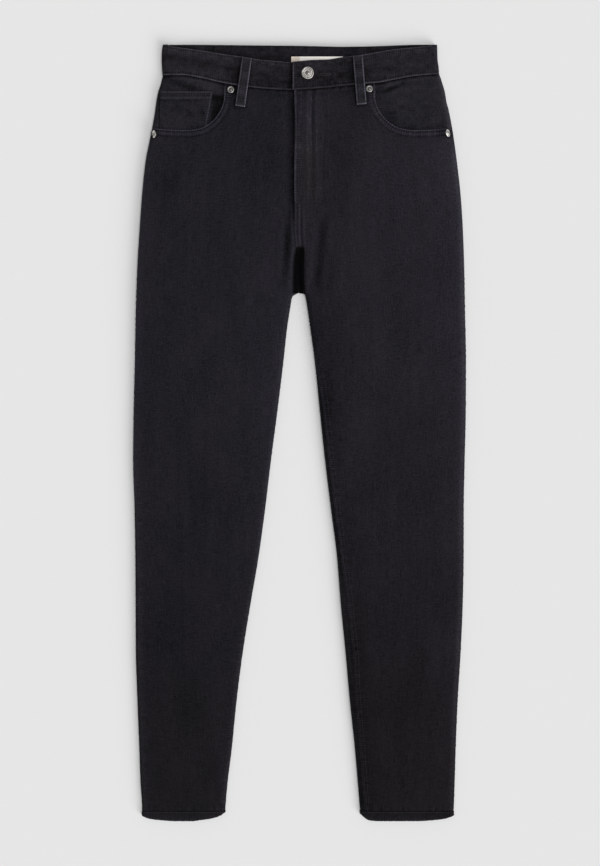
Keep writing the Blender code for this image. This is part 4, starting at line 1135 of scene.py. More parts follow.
def back_panel(side):
    top_a, top_d = slant_row(side, lambda x: yoke_seam(x) + GAP / 2, 92.0)
    base_d = 140.0
    base_a = back_columns(side, base_d)
    length = np.hypot(base_a - top_a, base_d - top_d)
    first = NEAR[:, None] / length[None, :]
    share = np.concatenate([first, first[-1] + (1 - first[-1]) * np.linspace(0, 1, 9)[1:, None]])
    a, d = top_a + (base_a - top_a) * share, top_d + (base_d - top_d) * share
    drops = np.concatenate([
        np.arange(144.5, 256.0, 4.5), np.arange(256.0, 320.0, 3.0), [322.0, 324.0, 326.6, 330.0, 334.0],
        np.arange(339.0, HEM_TOP - 17.0, 4.6), (HEM_TOP - GAP / 2) - NEAR[::-1],
    ])
    a = np.concatenate([a, [back_columns(side, v) for v in drops]])
    d = np.concatenate([d, np.repeat(drops[:, None], a.shape[1], 1)])
    p, n = wrap(side, a, d, under=True)
    leg = is_leg(d)
    start = -side_seam(side, d) + GAP / 2
    end = np.where(leg, inner_edge(side, d) + inseam(side, d), around_of(side, 0.0, d))
    x = np.abs(p[..., 0])
    edges = [
        (np.abs(d - yoke_seam(x)), x, np.where(d < 130, 1.0, 0.0)),
        (end - a, d, np.where(leg, 0.6, 0.8)),
        (a - start, d + 50, 0.5),
        (HEM_TOP - d, a, 0.35),
    ]
    h = back_relief(side, a, d, edges)
    p = under_relief(p, n, d, h)
    # wear, with the legs' painted light and shade along their folds
    wear_and_shade = 0.04 * wave(d, 2.2, 31.0) + 0.5 * h + leg_wear_light_and_shade(side, x, d) * (0.5 + 0.5 * ease((n[..., 2] + 0.5) / 0.4))
    if side == "L":
        # painted shade on the left leg's inner fold, and a worn light line in from it
        below = ease((d - 440) / 60)
        wear_and_shade = wear_and_shade - np.where(leg, 0.40 * below, 0) * np.exp(-((end - a) / 3.2) ** 2)
        wear_and_shade = wear_and_shade + np.where(leg, 0.42 * below, 0) * np.exp(-((end - a - 9.0) / 4.0) ** 2)
    made = shell(f"cloth_back_{side}", p, n, CLOTH, stack(a * SIDE[side], d), M_DENIM,
                 nearest_edge(d.shape, edges), wear_and_shade)
    flat, area = cut_of(a, d)
    place_on(made, [f"back_panel_{side}"], flat, area, (f"back_pocket_{side}",))


def yoke(side):
    high = slant_row(side, lambda x: back_seam(SIDE[side] * x) + GAP / 2, 60.0)
    low = slant_row(side, lambda x: yoke_seam(x) - GAP / 2, 92.0)
    length = 50.0
    share = dense_line(length, 3.2)[:, None] / length
    a, d = high[0] + (low[0] - high[0]) * share, high[1] + (low[1] - high[1]) * share
    p, n = wrap(side, a, d, under=True)
    x = np.abs(p[..., 0])
    edges = [
        (np.abs(yoke_seam(x) - d), x, 0.6),
        (np.abs(d - back_seam(p[..., 0])), x + 300, 0.5),
        (around_of(side, 0.0, d) - a, d, 0.8),
    ]
    h = back_relief(side, a, d, edges)
    p = under_relief(p, n, d, h)
    made = shell(f"cloth_yoke_{side}", p, n, CLOTH, stack(a * SIDE[side], d), M_DENIM,
                 nearest_edge(d.shape, edges), 0.0)
    flat, area = cut_of(a, d)
    place_on(made, [f"yoke_{side}"], flat, area, ("floor",))


def back_pocket(side):
    (xa, da), (xb, db), (xc, dc), (xd, dd), (xe, de) = BACK_POCKET
    u = (dense_line(1.0, 0.03, near=NEAR[:10] / 120.0))[None, :]
    v = (dense_line(1.0, 0.03, near=NEAR[:10] / 120.0))[:, None]
    lower_x = np.where(u < 0.5, xe + (xd - xe) * u * 2, xd + (xc - xd) * (u * 2 - 1))
    lower_d = np.where(u < 0.5, de + (dd - de) * u * 2, dd + (dc - dd) * (u * 2 - 1))
    x = (xa + (xb - xa) * u) * (1 - v) + lower_x * v
    d = (da + (db - da) * u) * (1 - v) + lower_d * v
    away = np.minimum(np.minimum(u, 1 - u) * 120.0, np.minimum(v, 1 - v) * 118.0)
    run = np.where(np.minimum(u, 1 - u) * 120 < np.minimum(v, 1 - v) * 118, d, x)
    z = 0.12 + 0.12 * wave(run, 3.0, 7.0) * np.exp(-((away - 4) / 3.0) ** 2) + 0.15 * np.exp(-((away - 1.6) / 0.7) ** 2)
    p = flat_points(SIDE[side] * x, d, z)
    seam = stack(run, away, 0.9)
    made = shell(f"pocket_back_{side}", p, np.broadcast_to(DOWN, p.shape), 1.2, stack(SIDE[side] * x, d),
                 M_TRIM, seam, 0.05, roll=away)
    flat, area = cut_of(x, d)
    place_on(made, [f"back_pocket_{side}"], flat, area, ("floor",))


# ------------------------------------------------- pocket facings, coin pocket
FACING_CREASES = {
    "R": (
        (-170.0, 45.0, -112.0, 68.0, 2.0, 4.4, 1.5), (-112.0, 64.0, -105.0, 98.0, -2.0, 5.0, 1.2),
        (-132.0, 44.0, -104.0, 60.0, 1.0, 3.4, 0.7),
    ),
    "L": (
        (98.5, 63.5, 141.0, 46.5, -2.2, 2.6, 1.5), (120.0, 58.0, 150.0, 70.0, 1.0, 6.0, 0.4),
        (150.0, 104.0, 184.0, 62.0, 2.0, 7.0, 0.7), (106.0, 78.0, 122.0, 106.0, -1.0, 5.0, 0.8),
    ),
}
COIN_CREASES = (
    (-172.0, 76.0, -128.0, 98.0, 2.0, 7.0, 0.4), (-136.0, 74.0, -122.0, 96.0, 1.0, 4.0, 0.5),
)


def facing_drop(side, x, d, a):
    """How far the facing lies below the garment's face."""
    line = mouth_line(side, 61)
    away, _ = from_line(stack(x, d), line)
    inside = (x > MOUTH_START) & (d < mouth_drop(side, np.clip(x, MOUTH_START, 1e3)))
    away = np.where(inside, away, 0.0)
    full = 2.7 if side == "R" else 2.3
    deep = 0.5 + (full - 0.5) * ease((a - quarter(d)) / 4.0)
    return deep * (1 - 0.86 * ease((away - 1.0) / 21.0)) + 0.25


def facing_surface(side, a, d, up=0.0):
    p, n = wrap(side, a, d)
    x = outer(side, d) - FOLD - (a - quarter(d))
    sunk = facing_drop(side, x, d, a)
    h = crease_height(p[..., 0], d, FACING_CREASES[side]) * ease((a - quarter(d)) / 6.0)
    return p + n * (h - sunk + up)[..., None], n, x


def pocket_facing(side):
    q = float(quarter(85.0))
    on_fold = np.linspace(GAP / 2, q + 3.4, 12)
    share_in = np.linspace(0, 1, 56)[1:]
    guess_far = float(outer(side, 85.0)) - FOLD - 3.4
    guess = np.concatenate([guess_far + 3.4 - np.maximum(on_fold - q, 0), guess_far + (86.0 - guess_far) * share_in])
    seam_at = front_seam(SIDE[side] * np.minimum(guess, 176.0)) + GAP / 2
    low = np.where(np.arange(len(guess)) < 12, mouth_drop(side, np.clip(guess, MOUTH_START, 1e3)) - 0.25, 124.0)
    share = dense_line(60.0, 1.9)[:, None] / 60.0
    d = seam_at + (low - seam_at) * share
    last = around_of(side, 86.0, d)
    a = np.concatenate([on_fold + 0 * d[:, :12], q + 3.4 + (last[:, 12:] - q - 3.4) * share_in], axis=1)
    p, n, x = facing_surface(side, a, d)
    line = mouth_line(side, 61)
    away, along = from_line(stack(x, d), line)
    to_waist = d - front_seam(p[..., 0])
    edges = [(to_waist, x, 0.08), (a, d, 0.2)]
    # painted shadow under the band's lower edge and painted shade under the pocket mouth's edge, with a worn light line
    # below the seam
    wear_and_shade = -1.1 * np.exp(-(to_waist / 2.3) ** 2) + 0.30 * np.exp(-((to_waist - 4.6) / 1.2) ** 2) - 0.30 * np.exp(-(away / 7.0) ** 2) * (x < 150)
    if side == "R":
        # painted shade between the coin pocket and the mouth, partly unfaded cloth; painted shadow in the diagonal fold
        # above the coin pocket, painted light on its ridge; painted shade in the gap at the coin pocket's left end
        dark = ease((118.0 - x) / 6.0) * ease((d - 62.0) / 8.0)
        wear_and_shade = wear_and_shade - 0.56 * dark
        p2 = (p[..., 0] + 141.0) * 0.37 - (d - 56.5) * 0.93
        wear_and_shade = wear_and_shade - 0.46 * np.exp(-(p2 / 4.2) ** 2) * (d < 74) + 0.30 * np.exp(-((p2 - 9.5) / 4.2) ** 2)
        wear_and_shade = wear_and_shade - 0.6 * np.exp(-((x - 182.0) / 1.1) ** 2) * ease((d - 62) / 8) + 0.30 * ease((x - 183.0) / 2.0)
    else:
        # painted shade in two hollows by the mouth and in the crease under the band, and painted light along the fold's
        # edge that faces the lamps
        for cx, cd, sx, sd, deep in ((114.0, 93.0, 8.0, 10.0, 0.28), (162.0, 98.0, 9.0, 9.0, 0.18)):
            wear_and_shade = wear_and_shade - deep * np.exp(-((x - cx) / sx) ** 2 - ((d - cd) / sd) ** 2)
        wear_and_shade = wear_and_shade + 0.14 * np.exp(-((x - 140.0) / 18.0) ** 2 - ((d - 70.0) / 16.0) ** 2)
        wear_and_shade = wear_and_shade + 0.5 * crease_height(p[..., 0], d, FACING_CREASES["L"][:1])
        wear_and_shade = wear_and_shade + 0.95 * np.exp(-((a - 3.0) / 5.0) ** 2) + 0.25 * np.exp(-a / 16.0)
    made = shell(f"facing_{side}", p, n, 0.9, stack(a * SIDE[side], d), M_TRIM,
                 nearest_edge(d.shape, edges), wear_and_shade)
    flat, area = cut_of(a, d)
    place_on(made, [f"pocket_facing_{side}"], flat, area, (f"yoke_{side}",))
    return made


def coin_pocket():
    rows = dense_line(60.0, 1.6, last=False)[:, None] / 60.0
    u = (dense_line(66.0, 1.7)[None, :]) / 66.0
    right = lambda d: 112.7 + 0.19 * (d - 62.0)
    guess = 181.0 + (right(62.0) - 181.0) * u
    low = np.minimum(mouth_drop("R", guess) + 11.0, 121.0)
    d = POCKET_TOP + (low - POCKET_TOP) * rows
    x = 181.0 + (right(d) - 181.0) * u
    a = around_at("R", x, d)
    p, n, _ = facing_surface("R", a, d, 1.05)
    to_top, to_right, to_left = d - POCKET_TOP, x - right(d), 181.0 - x
    h = crease_height(p[..., 0], d, COIN_CREASES)
    h = h + 0.22 * wave(x, 1.0, 8.0) * np.exp(-((to_top - 4.0) / 4.0) ** 2)
    h = h - 0.25 * np.exp(-((to_top - 1.6) / 0.7) ** 2) - 0.25 * np.exp(-((to_top - 7.2) / 0.7) ** 2)
    h = h - 0.2 * np.exp(-((to_right - 1.8) / 0.7) ** 2)
    h = h + 0.3 * np.exp(-((to_top - 4.4) / 2.0) ** 2)
    p = p + n * h[..., None]
    # painted shade at the coin pocket's lower right, by the pocket mouth
    wear_and_shade = 0.6 * h - 0.35 * np.exp(-((x - 122.0) / 9.0) ** 2 - ((d - 97.0) / 8.0) ** 2)
    wear_and_shade = wear_and_shade - 0.35 * np.exp(-((to_top - 6.0) / 0.8) ** 2) + 1.05 * np.exp(-((to_top - 8.4) / 1.1) ** 2)
    wear_and_shade = wear_and_shade - 0.36 * np.exp(-((to_top - 11.4) / 1.5) ** 2)
    wear_and_shade = wear_and_shade + 0.10 * np.exp(-((x - 160.0) / 16.0) ** 2 - ((d - 84.0) / 12.0) ** 2)
    edges = [(to_top, x, 0.9), (to_right, d, 0.8), (to_left, d, 0.2)]
    made = shell("coin_pocket_cloth", p, n, 0.9, stack(-x, d), M_TRIM, nearest_edge(d.shape, edges),
                 wear_and_shade, roll=np.minimum(np.minimum(to_top, to_right), to_left))
    flat, area = cut_of(np.broadcast_to(x, d.shape), d)
    place_on(made, ["coin_pocket"], flat, area, ("pocket_facing_R",))
    return made


def fly_shield():
    v = np.linspace(0, 1, 60)[:, None]
    u = np.linspace(0, 1, 24)[None, :]
    d = 58.0 + (217.0 - 58.0) * v
    far = 34.0 - 24.0 * ease((d - 186.0) / 31.0)
    x = -12.0 + (far + 12.0) * u
    base = top_height(x, d) - fly_raise(x, d)
    z = base - 2.6 - CLOTH - 0.6
    p = flat_points(x, d, z)
    made = shell("fly_strip", p, np.broadcast_to(UP, p.shape), 0.9, stack(x, d), M_TRIM, None, -0.1)
    flat, area = cut_of(x, np.broadcast_to(d, x.shape))
    place_on(made, ["fly_shield"], flat, area, ("front_panel_R",))


# ------------------------------------------------------------------ waistband
def band_height(x, drop, left):
    z = tube_height(drop) + middle(x, drop) * (look(LOFT, 2, drop) + 0.8 * swell(x, drop))
    z = z + crease_height(x, drop, BAND_CREASES)
    if left:
        return z + 2.1 * (1 - ease((x - 12.0) / 30.0)) + 0.35
    return z - 2.4 * ease((x + 30.0) / 20.0) + 0.35


def band_stand(x, drop):
    """The stiff band stands up from the surface towards its top edge."""
    return 3.2 * (1 - ease(drop / 36.0)) * (1 - ease((np.abs(x) - 120.0) / 52.0))


def waistband():
    mid = 20.0
    reach = {s: float(look(BAND_EDGE, COLUMN[s], mid)) - FOLD for s in SIDE}
    row_at = dense_line(1.0, 0.06, near=np.array([0, 0.3, 0.7, 1.2, 1.8, 2.6, 3.6, 4.8, 6.2, 7.8]) / 38.0)
    pts, guides, arounds, drops, lefts, backs = [], [], [], [], [], []
    run = 0.0

    def add(kind, value, side=None):
        nonlocal run
        if kind == "fold":
            s = SIDE[side]
            blend = (1 - math.sin(value)) / 2
            top = look(WAIST, 1, s * 178) * (1 - blend) + look(WAIST, 3, s * 178) * blend - 0.8
            low = front_seam(s * 178) - GAP / 2
            drop = top + (low - top) * row_at
            edge = look(BAND_EDGE, COLUMN[side], drop)
            high = tube_height(drop) / 2
            x = s * (edge - FOLD + FOLD * math.cos(value))
            z = high + high * math.sin(value)
            g = stack(s * math.cos(value) / FOLD, 0.0, math.sin(value) / high)
            g = g / np.linalg.norm(g, axis=-1, keepdims=True)
        else:
            x = np.full(len(row_at), value)
            seam = look(WAIST, 4 if kind == "back" else 2, value)
            top = look(WAIST, 3 if kind == "back" else 1, value) - (1.3 if kind == "back" else 0.4)
            low = seam - GAP / 2
            drop = top + (low - top) * row_at
            if kind == "back":
                z = floor_height(x, 40.0) + band_stand(x, drop)
                g = np.broadcast_to(DOWN, (len(row_at), 3))
            else:
                z = band_height(x, drop, kind == "left")
                g = np.broadcast_to(UP, (len(row_at), 3))
        p = flat_points(x, drop, z)
        if pts:
            run += float(np.linalg.norm(p[len(p) // 2] - pts[-1][len(p) // 2]))
        pts.append(p)
        guides.append(g)
        arounds.append(np.full(len(row_at), run))
        drops.append(drop)
        backs.append(np.full(len(row_at), 1.0 if kind == "back" else 0.0))

    for x in np.concatenate([LAP_EDGE + NEAR[:12], np.arange(LAP_EDGE + 9.5, reach["L"] - 1.0, 1.9)]):
        add("left", x)
    for turn in np.radians(np.linspace(90, -90, 17)):
        add("fold", float(turn), "L")
    for x in np.linspace(reach["L"], -reach["R"], 74)[1:-1]:
        add("back", x)
    for turn in np.radians(np.linspace(-90, 90, 17)):
        add("fold", float(turn), "R")
    for x in np.arange(-reach["R"] + 2.0, UNDERLAP, 1.9):
        add("right", x)
    p, g = np.stack(pts, 1), np.stack(guides, 1)
    a, d, rear = np.stack(arounds, 1), np.stack(drops, 1), np.stack(backs, 1)
    total = np.linalg.norm(np.diff(p, axis=0), axis=-1)
    down = np.concatenate([np.zeros((1, p.shape[1])), np.cumsum(total, 0)])
    to_top, to_low, to_lap = down, down[-1] - down, a
    h = 0.28 * wave(a, 1.1, 8.6) * np.exp(-((to_low - 4.5) / 4.5) ** 2)
    h += 0.16 * wave(a, 3.1, 10.0) * np.exp(-((to_top - 4.0) / 4.0) ** 2)
    h -= 0.30 * np.exp(-((to_top - 2.2) / 0.7) ** 2) + 0.30 * np.exp(-((to_low - 2.2) / 0.7) ** 2)
    h += 0.25 * np.exp(-(to_top / 1.6) ** 2) + 0.30 * np.exp(-(to_low / 1.6) ** 2)
    h -= 0.30 * np.exp(-((to_lap - 2.4) / 0.7) ** 2)
    h = np.where(rear > 0, np.minimum(h, 0.0), h)
    p = p + g * h[..., None]
    x = p[..., 0]
    wear_and_shade = 0.30 * np.exp(-((to_lap - 1.5) / 2.2) ** 2) + 0.6 * h
    shown = np.where(rear == 0, 1.0, 0.0)
    part = to_top / (to_top + to_low)
    wear_and_shade += shown * (0.85 * np.exp(-((to_top - 4.6) / 1.0) ** 2) * (0.45 + 0.55 * wave(a, 2.0, 15.0)) - 0.30 * np.exp(-((to_top - 2.8) / 0.8) ** 2))
    wear_and_shade -= shown * 0.42 * np.exp(-((to_low - 3.0) / 0.9) ** 2)
    wear_and_shade -= shown * 0.24 * ease((part - 0.32) / 0.22) * (1 - ease((np.abs(x) - 85.0) / 20.0))
    wear_and_shade -= shown * 0.14 * ease((x - 22.0) / 8.0) * ease((72.0 - x) / 8.0)
    wear_and_shade += shown * (x < 0) * ease((-95.0 - x) / 20.0) * (0.28 * np.exp(-((part - 0.15) / 0.10) ** 2) - 0.30 * np.exp(-((part - 0.42) / 0.12) ** 2) + 0.34 * np.exp(-((part - 0.82) / 0.10) ** 2))
    away = np.hypot(x - 10.7, d - 38.4)
    rays = np.sin(26 * np.arctan2(d - 38.4, x - 10.7) + 2.0 * np.sin(away))
    wear_and_shade += np.where(rear == 0, 0.36, 0) * rays * np.exp(-((away - 11.0) / 3.6) ** 2) * (a < 400)
    wear_and_shade += np.where((x < -60) & (rear == 0), 0.16, 0) * np.exp(-((d - 14.0 - 0.04 * (x + 160)) / 6.0) ** 2) * (0.5 + 0.5 * wave(x, 1.0, 13.0))
    wear_and_shade -= np.where(rear == 0, 0.12, 0) * np.exp(-((to_low - 7.5) / 2.2) ** 2) * (0.5 + 0.5 * wave(a, 5.0, 17.0))
    wear_and_shade += np.where(x > 160, 0.25, 0) * np.exp(-((x - 169.0) / 1.3) ** 2)
    wear_and_shade += np.where(x > 160, 0.3, 0) * np.exp(-((x - 177.0) / 2.4) ** 2)
    # painted shadows beside the loops and of the band's overlapping end, and painted shade in the band's creases and on
    # the inside of its back
    wear_and_shade -= np.where(rear == 0, 0.80, 0) * painted_loop_shadow(x, d)
    wear_and_shade -= np.where((rear == 0) & (a > 400), 1.0, 0) * (0.60 * np.exp(-(np.maximum(LAP_EDGE - x, 0) / 4.0) ** 2) + 0.30 * np.exp(-(np.maximum(LAP_EDGE - x, 0) / 11.0) ** 2))
    wear_and_shade += np.where(rear == 0, 0.22, 0) * crease_height(x, d, BAND_CREASES)
    wear_and_shade -= np.where(rear > 0, 0.25, 0)
    # the washed edges are lighter towards the loops and the sides
    rub_top = np.interp(x, (-180, -150, -60, -15, 0, 50, 65, 110, 150, 180), (0.6, 1, 0.95, 0.75, 0.5, 0.5, 1, 1, 0.8, 0.7))
    rub_low = np.interp(x, (-180, -140, -85, -60, -8, 0, 60, 85, 130, 180), (0.85, 1.05, 1.05, 0.74, 0.72, 0.58, 0.6, 1.05, 0.9, 0.7))
    edges = [(to_top, a, np.where(rear > 0, 0.15, rub_top)), (to_low, a + 31, np.where(rear > 0, 0.15, rub_low)), (to_lap, d, 1.2)]
    roll = np.minimum(np.minimum(to_top, to_low), np.minimum(to_lap, a[:, -1:] - a))
    made = shell("waistband_cloth", p, g, BAND, stack(a, d), M_BAND, nearest_edge(d.shape, edges), wear_and_shade, roll=roll)
    flat, area = cut_of(a, down)
    place_on(made, ["waistband"], flat, area, ("belt_loop_back_C",))
    return made


# ------------------------------------------------------------ loops and label
def front_loop(side, top, bottom):
    u = dense_line(LOOP_WIDTH, 1.0, near=NEAR[:6])[None, :]
    run = math.hypot(bottom[0] - top[0], bottom[1] - top[1])
    v = dense_line(run, 1.6, near=NEAR[:9])[:, None]
    ux, ud = (bottom[0] - top[0]) / run, (bottom[1] - top[1]) / run
    off = u - LOOP_WIDTH / 2
    x = top[0] + ux * v + off * ud
    d = top[1] + ud * v - off * ux
    mid_x, mid_d = top[0] + ux * v, top[1] + ud * v
    share = v / run
    ground = 0.5 * (top_height(mid_x, mid_d) + band_height(mid_x, np.minimum(mid_d, 52.0), True))
    z = ground + 1.75 + 1.15 * np.sin(math.pi * np.clip(share * 1.02, 0, 1)) ** 0.8 + 0.3 * np.sin(3 * math.pi * share)
    edge = np.minimum(u, LOOP_WIDTH - u)
    z = z - 0.28 * np.exp(-((edge - 2.1) / 0.6) ** 2) + 0.10 * wave(v + 0 * u, 1.0, 5.0) * np.exp(-((edge - 1.0) / 1.4) ** 2)
    z = z - 0.28 * np.exp(-((run - v - 3.2) / 1.0) ** 2) - 0.2 * np.exp(-((v - 3.0) / 1.0) ** 2)
    p = flat_points(x, d, z)
    away = np.minimum(edge, np.minimum(v, run - v))
    seam = stack(v + 0 * u, away, np.where(u > LOOP_WIDTH / 2, 1.0, 0.86))
    bright = np.where(u > LOOP_WIDTH / 2, 2.9, 1.9) if side == "L" else np.where(u > LOOP_WIDTH / 2, 2.7, 1.8)
    wear_and_shade = 1.5 * bright * np.exp(-(edge / 1.15) ** 2) * (0.72 + 0.28 * wave(v, 1.0, 11.0)) + 0.30 * np.sin(share * 19.0 + 1.0)
    wear_and_shade = wear_and_shade + 1.6 * np.exp(-((run - v) / 1.1) ** 2) + 1.2 * np.exp(-(v / 1.1) ** 2) - 0.45 * np.exp(-((edge - 2.7) / 0.7) ** 2)
    wear_and_shade = wear_and_shade + 0.6 * np.exp(-((edge - 4.2) / 0.8) ** 2) * (0.6 + 0.4 * wave(v, 3.0, 4.0)) + 0.12
    made = shell(f"loop_{side}", p, np.broadcast_to(UP, p.shape), 1.5, stack(x, d), M_TRIM, seam, wear_and_shade, roll=away)
    place_on(made, [f"belt_loop_front_{side}"], (LOOP_WIDTH * MM, run * MM), None, ("waistband",))
    return made, (top, bottom, run, ux, ud)


def back_loop(name, x0):
    u = dense_line(LOOP_WIDTH, 1.0, near=NEAR[:6])[None, :]
    v = dense_line(64.0, 2.0, near=NEAR[:9])[:, None]
    edge = np.minimum(u, LOOP_WIDTH - u)
    z = 0.05 + 0.2 * np.exp(-((edge - 2.1) / 0.6) ** 2) + 0 * v
    x, d = x0 - LOOP_WIDTH / 2 + u + 0 * v, 2.0 + v + 0 * u
    p = flat_points(x, d, z)
    away = np.minimum(edge, np.minimum(v, 64.0 - v))
    made = shell(f"loop_back_{name}", p, np.broadcast_to(DOWN, p.shape), 1.4, stack(x, d), M_TRIM,
                 stack(v + 0 * u, edge + 0 * v, 1.0), 0.2, roll=away)
    place_on(made, [f"belt_loop_back_{name}"], (LOOP_WIDTH * MM, 0.064), None, ("floor",))
    return made


def label():
    u = dense_line(67.0, 2.0, near=NEAR[:5])[None, :]
    v = dense_line(23.1, 1.5, near=NEAR[:5])[:, None]
    x, d = -10.7 + u + 0 * v, 15.9 + v + 0 * u
    low = LIFT + BAND + 0.5 + band_stand(x, d)
    away = np.minimum(np.minimum(u, 67.0 - u), np.minimum(v, 23.1 - v))
    z = low + 0.25 + 1.7 * (1 - ease((v - 1.0) / 9.0)) + 0.15 * np.sin(x / 12.0) ** 2 - 0.1 * np.exp(-((away - 1.6) / 0.6) ** 2)
    p = flat_points(x, d, z)
    made = shell("label_tape", p, np.broadcast_to(UP, p.shape), 0.4, stack(x, d), M_LABEL, None, None, roll=away)
    place_on(made, ["label"], (0.067, 0.0231), None, ("waistband",))
    return made


# ----------------------------------------------------------------------- hems
def hem(side):
    total = float(inner_edge(side, HEM_TOP))
    q = float(quarter(HEM_TOP))
    over = np.concatenate([np.linspace(0, q, 9), np.linspace(q, total - q, 62)[1:], np.linspace(total - q, total, 9)[1:]])
    ring = [(v, False) for v in over] + [(v, True) for v in over[::-1][1:-1]]
    a = np.array([v for v, _ in ring])
    below = np.array([b for _, b in ring])
    start = HEM_TOP + GAP / 2
    p1, n1 = wrap(side, a, np.full(len(a), start))
    p2, n2 = wrap(side, a, np.full(len(a), start), under=True)
    p0 = np.where(below[:, None], p2, p1)
    n0 = np.where(below[:, None], n2, n1)
    across = (np.abs(p0[:, 0]) - float(inner(side, start))) / float(outer(side, start) - inner(side, start))
    low = look(HEM_EDGE, COLUMN[side], across) + 1.0
    share = dense_line(1.0, 0.10, near=np.array([0, 0.3, 0.7, 1.2, 1.8, 2.6]) / 12.5)[:, None]
    d = start + (low - start)[None, :] * share
    run = np.where(below, 2 * total - a, a)[None, :] + 0 * d
    to_low, to_high = (1 - share) * 12.5 + 0 * d, share * 12.5 + 0 * d
    tilt = 0.45 * wave(run + 1.1 * to_low, 2.0 + SIDE[side], 7.2)
    h = 0.45 + tilt * np.exp(-((to_low - 5.0) / 5.0) ** 2) - 0.35 * np.exp(-((to_high - 1.6) / 0.8) ** 2)
    h = h - 0.4 * np.exp(-(to_high / 0.8) ** 2)
    p = stack(p0[None, :, 0] + 0 * d, LENGTH / 2 - d, p0[None, :, 2] + 0 * d)
    n = np.broadcast_to(n0[None], p.shape)
    p = p + n * h[..., None]
    p[..., 2] = np.maximum(p[..., 2], 0.0)
    wear_and_shade = (0.16 if side == "R" else -0.16) + 0.55 * np.exp(-((to_low - 2.5) / 2.6) ** 2) * (0.6 + 0.4 * wave(run, 1.0, 7.2)) + 0.3 * np.exp(-((to_high - 3.0) / 1.2) ** 2) * np.maximum(wave(run, 4.0, 6.0), 0)
    seam = stack(run, to_low, 0.8)
    made = shell(f"hem_cloth_{side}", p, n, 2.0, stack(run, d), M_HEM, seam, wear_and_shade, ring=True,
                 roll=np.minimum(to_low, to_high))
    place_on(made, [f"hem_{side}"], (2 * total * MM, 0.0126), None, ("floor",))
    return made


# ------------------------------------------------------------------- stitches
TREES = {}


def tree_of(obj):
    if obj.name not in TREES:
        mesh = obj.data
        co = np.empty(len(mesh.vertices) * 3, np.float32)
        mesh.vertices.foreach_get("co", co)
        idx = np.empty(len(mesh.loops), np.int32)
        mesh.loops.foreach_get("vertex_index", idx)
        TREES[obj.name] = BVHTree.FromPolygons(co.reshape(-1, 3).tolist(), idx.reshape(-1, 4).tolist())
    return TREES[obj.name]


def touch(onto, x, drop, below):
    """The face seen from above, or from under, at a place."""
    way = Vector((0, 0, 1 if below else -1))
    start = Vector((x * MM, (LENGTH / 2 - drop) * MM, -0.02 if below else 0.06))
    best = None
    for obj in onto:
        hit, n, _, far = tree_of(obj).ray_cast(start, way)
        if hit is not None and (best is None or far < best[2]):
            if n.dot(way) > 0:
                n = -n
            best = (hit / MM, n, far)
    return best


RINGS = ((-1.0, 0.30, -0.22), (-0.6, 0.92, 0.02), (0.6, 0.92, 0.02), (1.0, 0.30, -0.22))


def capsules(name, segments, onto, mat, width=0.62, below=False, carrier=None):
    """Threads laid on the cloth, one rounded bar for each segment."""
    verts, faces = [], []
    for (x0, d0), (x1, d1) in segments:
        a, b = touch(onto, x0, d0, below), touch(onto, x1, d1, below)
        if a is None or b is None or abs(a[0].z - b[0].z) > 1.6:
            continue
        n = (a[1] + b[1]).normalized()
        along = b[0] - a[0]
        size = along.length
        if size < 0.2 or size > 14:
            continue
        t = along / size
        side = n.cross(t).normalized()
        mid = (a[0] + b[0]) / 2
        base = len(verts)
        for s, r, up in RINGS:
            c = mid + t * (s * size / 2) + n * (up * width + 0.08)
            for k in range(6):
                w = 2 * math.pi * k / 6
                verts.append(c + side * (math.cos(w) * r * width / 2) + n * (math.sin(w) * r * width / 2))
        for i in range(3):
            for k in range(6):
                m = (k + 1) % 6
                lo, hi = base + 6 * i, base + 6 * i + 6
                faces.append((lo + k, lo + m, hi + m, hi + k))
        for i, flip in ((0, True), (3, False)):
            o = base + 6 * i
            for quad in ((0, 1, 2, 3), (0, 3, 4, 5)):
                f = tuple(o + k for k in quad)
                faces.append(f[::-1] if flip else f)
    if not faces:
        return None
    made = raw_mesh(name, np.array([tuple(v) for v in verts]), faces, mats=(mat,))
    tidy = bmesh.new()
    tidy.from_mesh(made.data)
    bmesh.ops.recalc_face_normals(tidy, faces=tidy.faces[:])
    tidy.to_mesh(made.data)
    tidy.free()
    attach(made, "root")
    if carrier is not None:
        ON_SHEET.setdefault(carrier.name, []).append(made)
    return made


ON_SHEET = {}


def sewn(lines, pitch=3.3, part=0.72):
    """Segments of a stitched line, for each polyline of (X, drop)."""
    found = []
    for line in lines:
        line = np.asarray(line, float)
        total = along_line(line, [0])[1]
        count = max(1, int(total / pitch))
        step = total / count
        at = np.arange(count) * step
        a = along_line(line, at)[0]
        b = along_line(line, at + step * part)[0]
        found += list(zip(map(tuple, a), map(tuple, b)))
    return found


def offset_line(line, off):
    line = np.asarray(line, float)
    t = np.gradient(line, axis=0)
    t = t / np.linalg.norm(t, axis=1, keepdims=True)
    return line + np.stack([-t[:, 1], t[:, 0]], -1) * off


def drop_line(x_of, start, stop, step=4.0):
    d = np.arange(start, stop + step / 2, step)
    return np.stack([x_of(d), d], -1)


def across_line(d_of, start, stop, step=4.0):
    count = max(2, int(abs(stop - start) / step))
    x = np.linspace(start, stop, count)
    return np.stack([x, d_of(x)], -1)


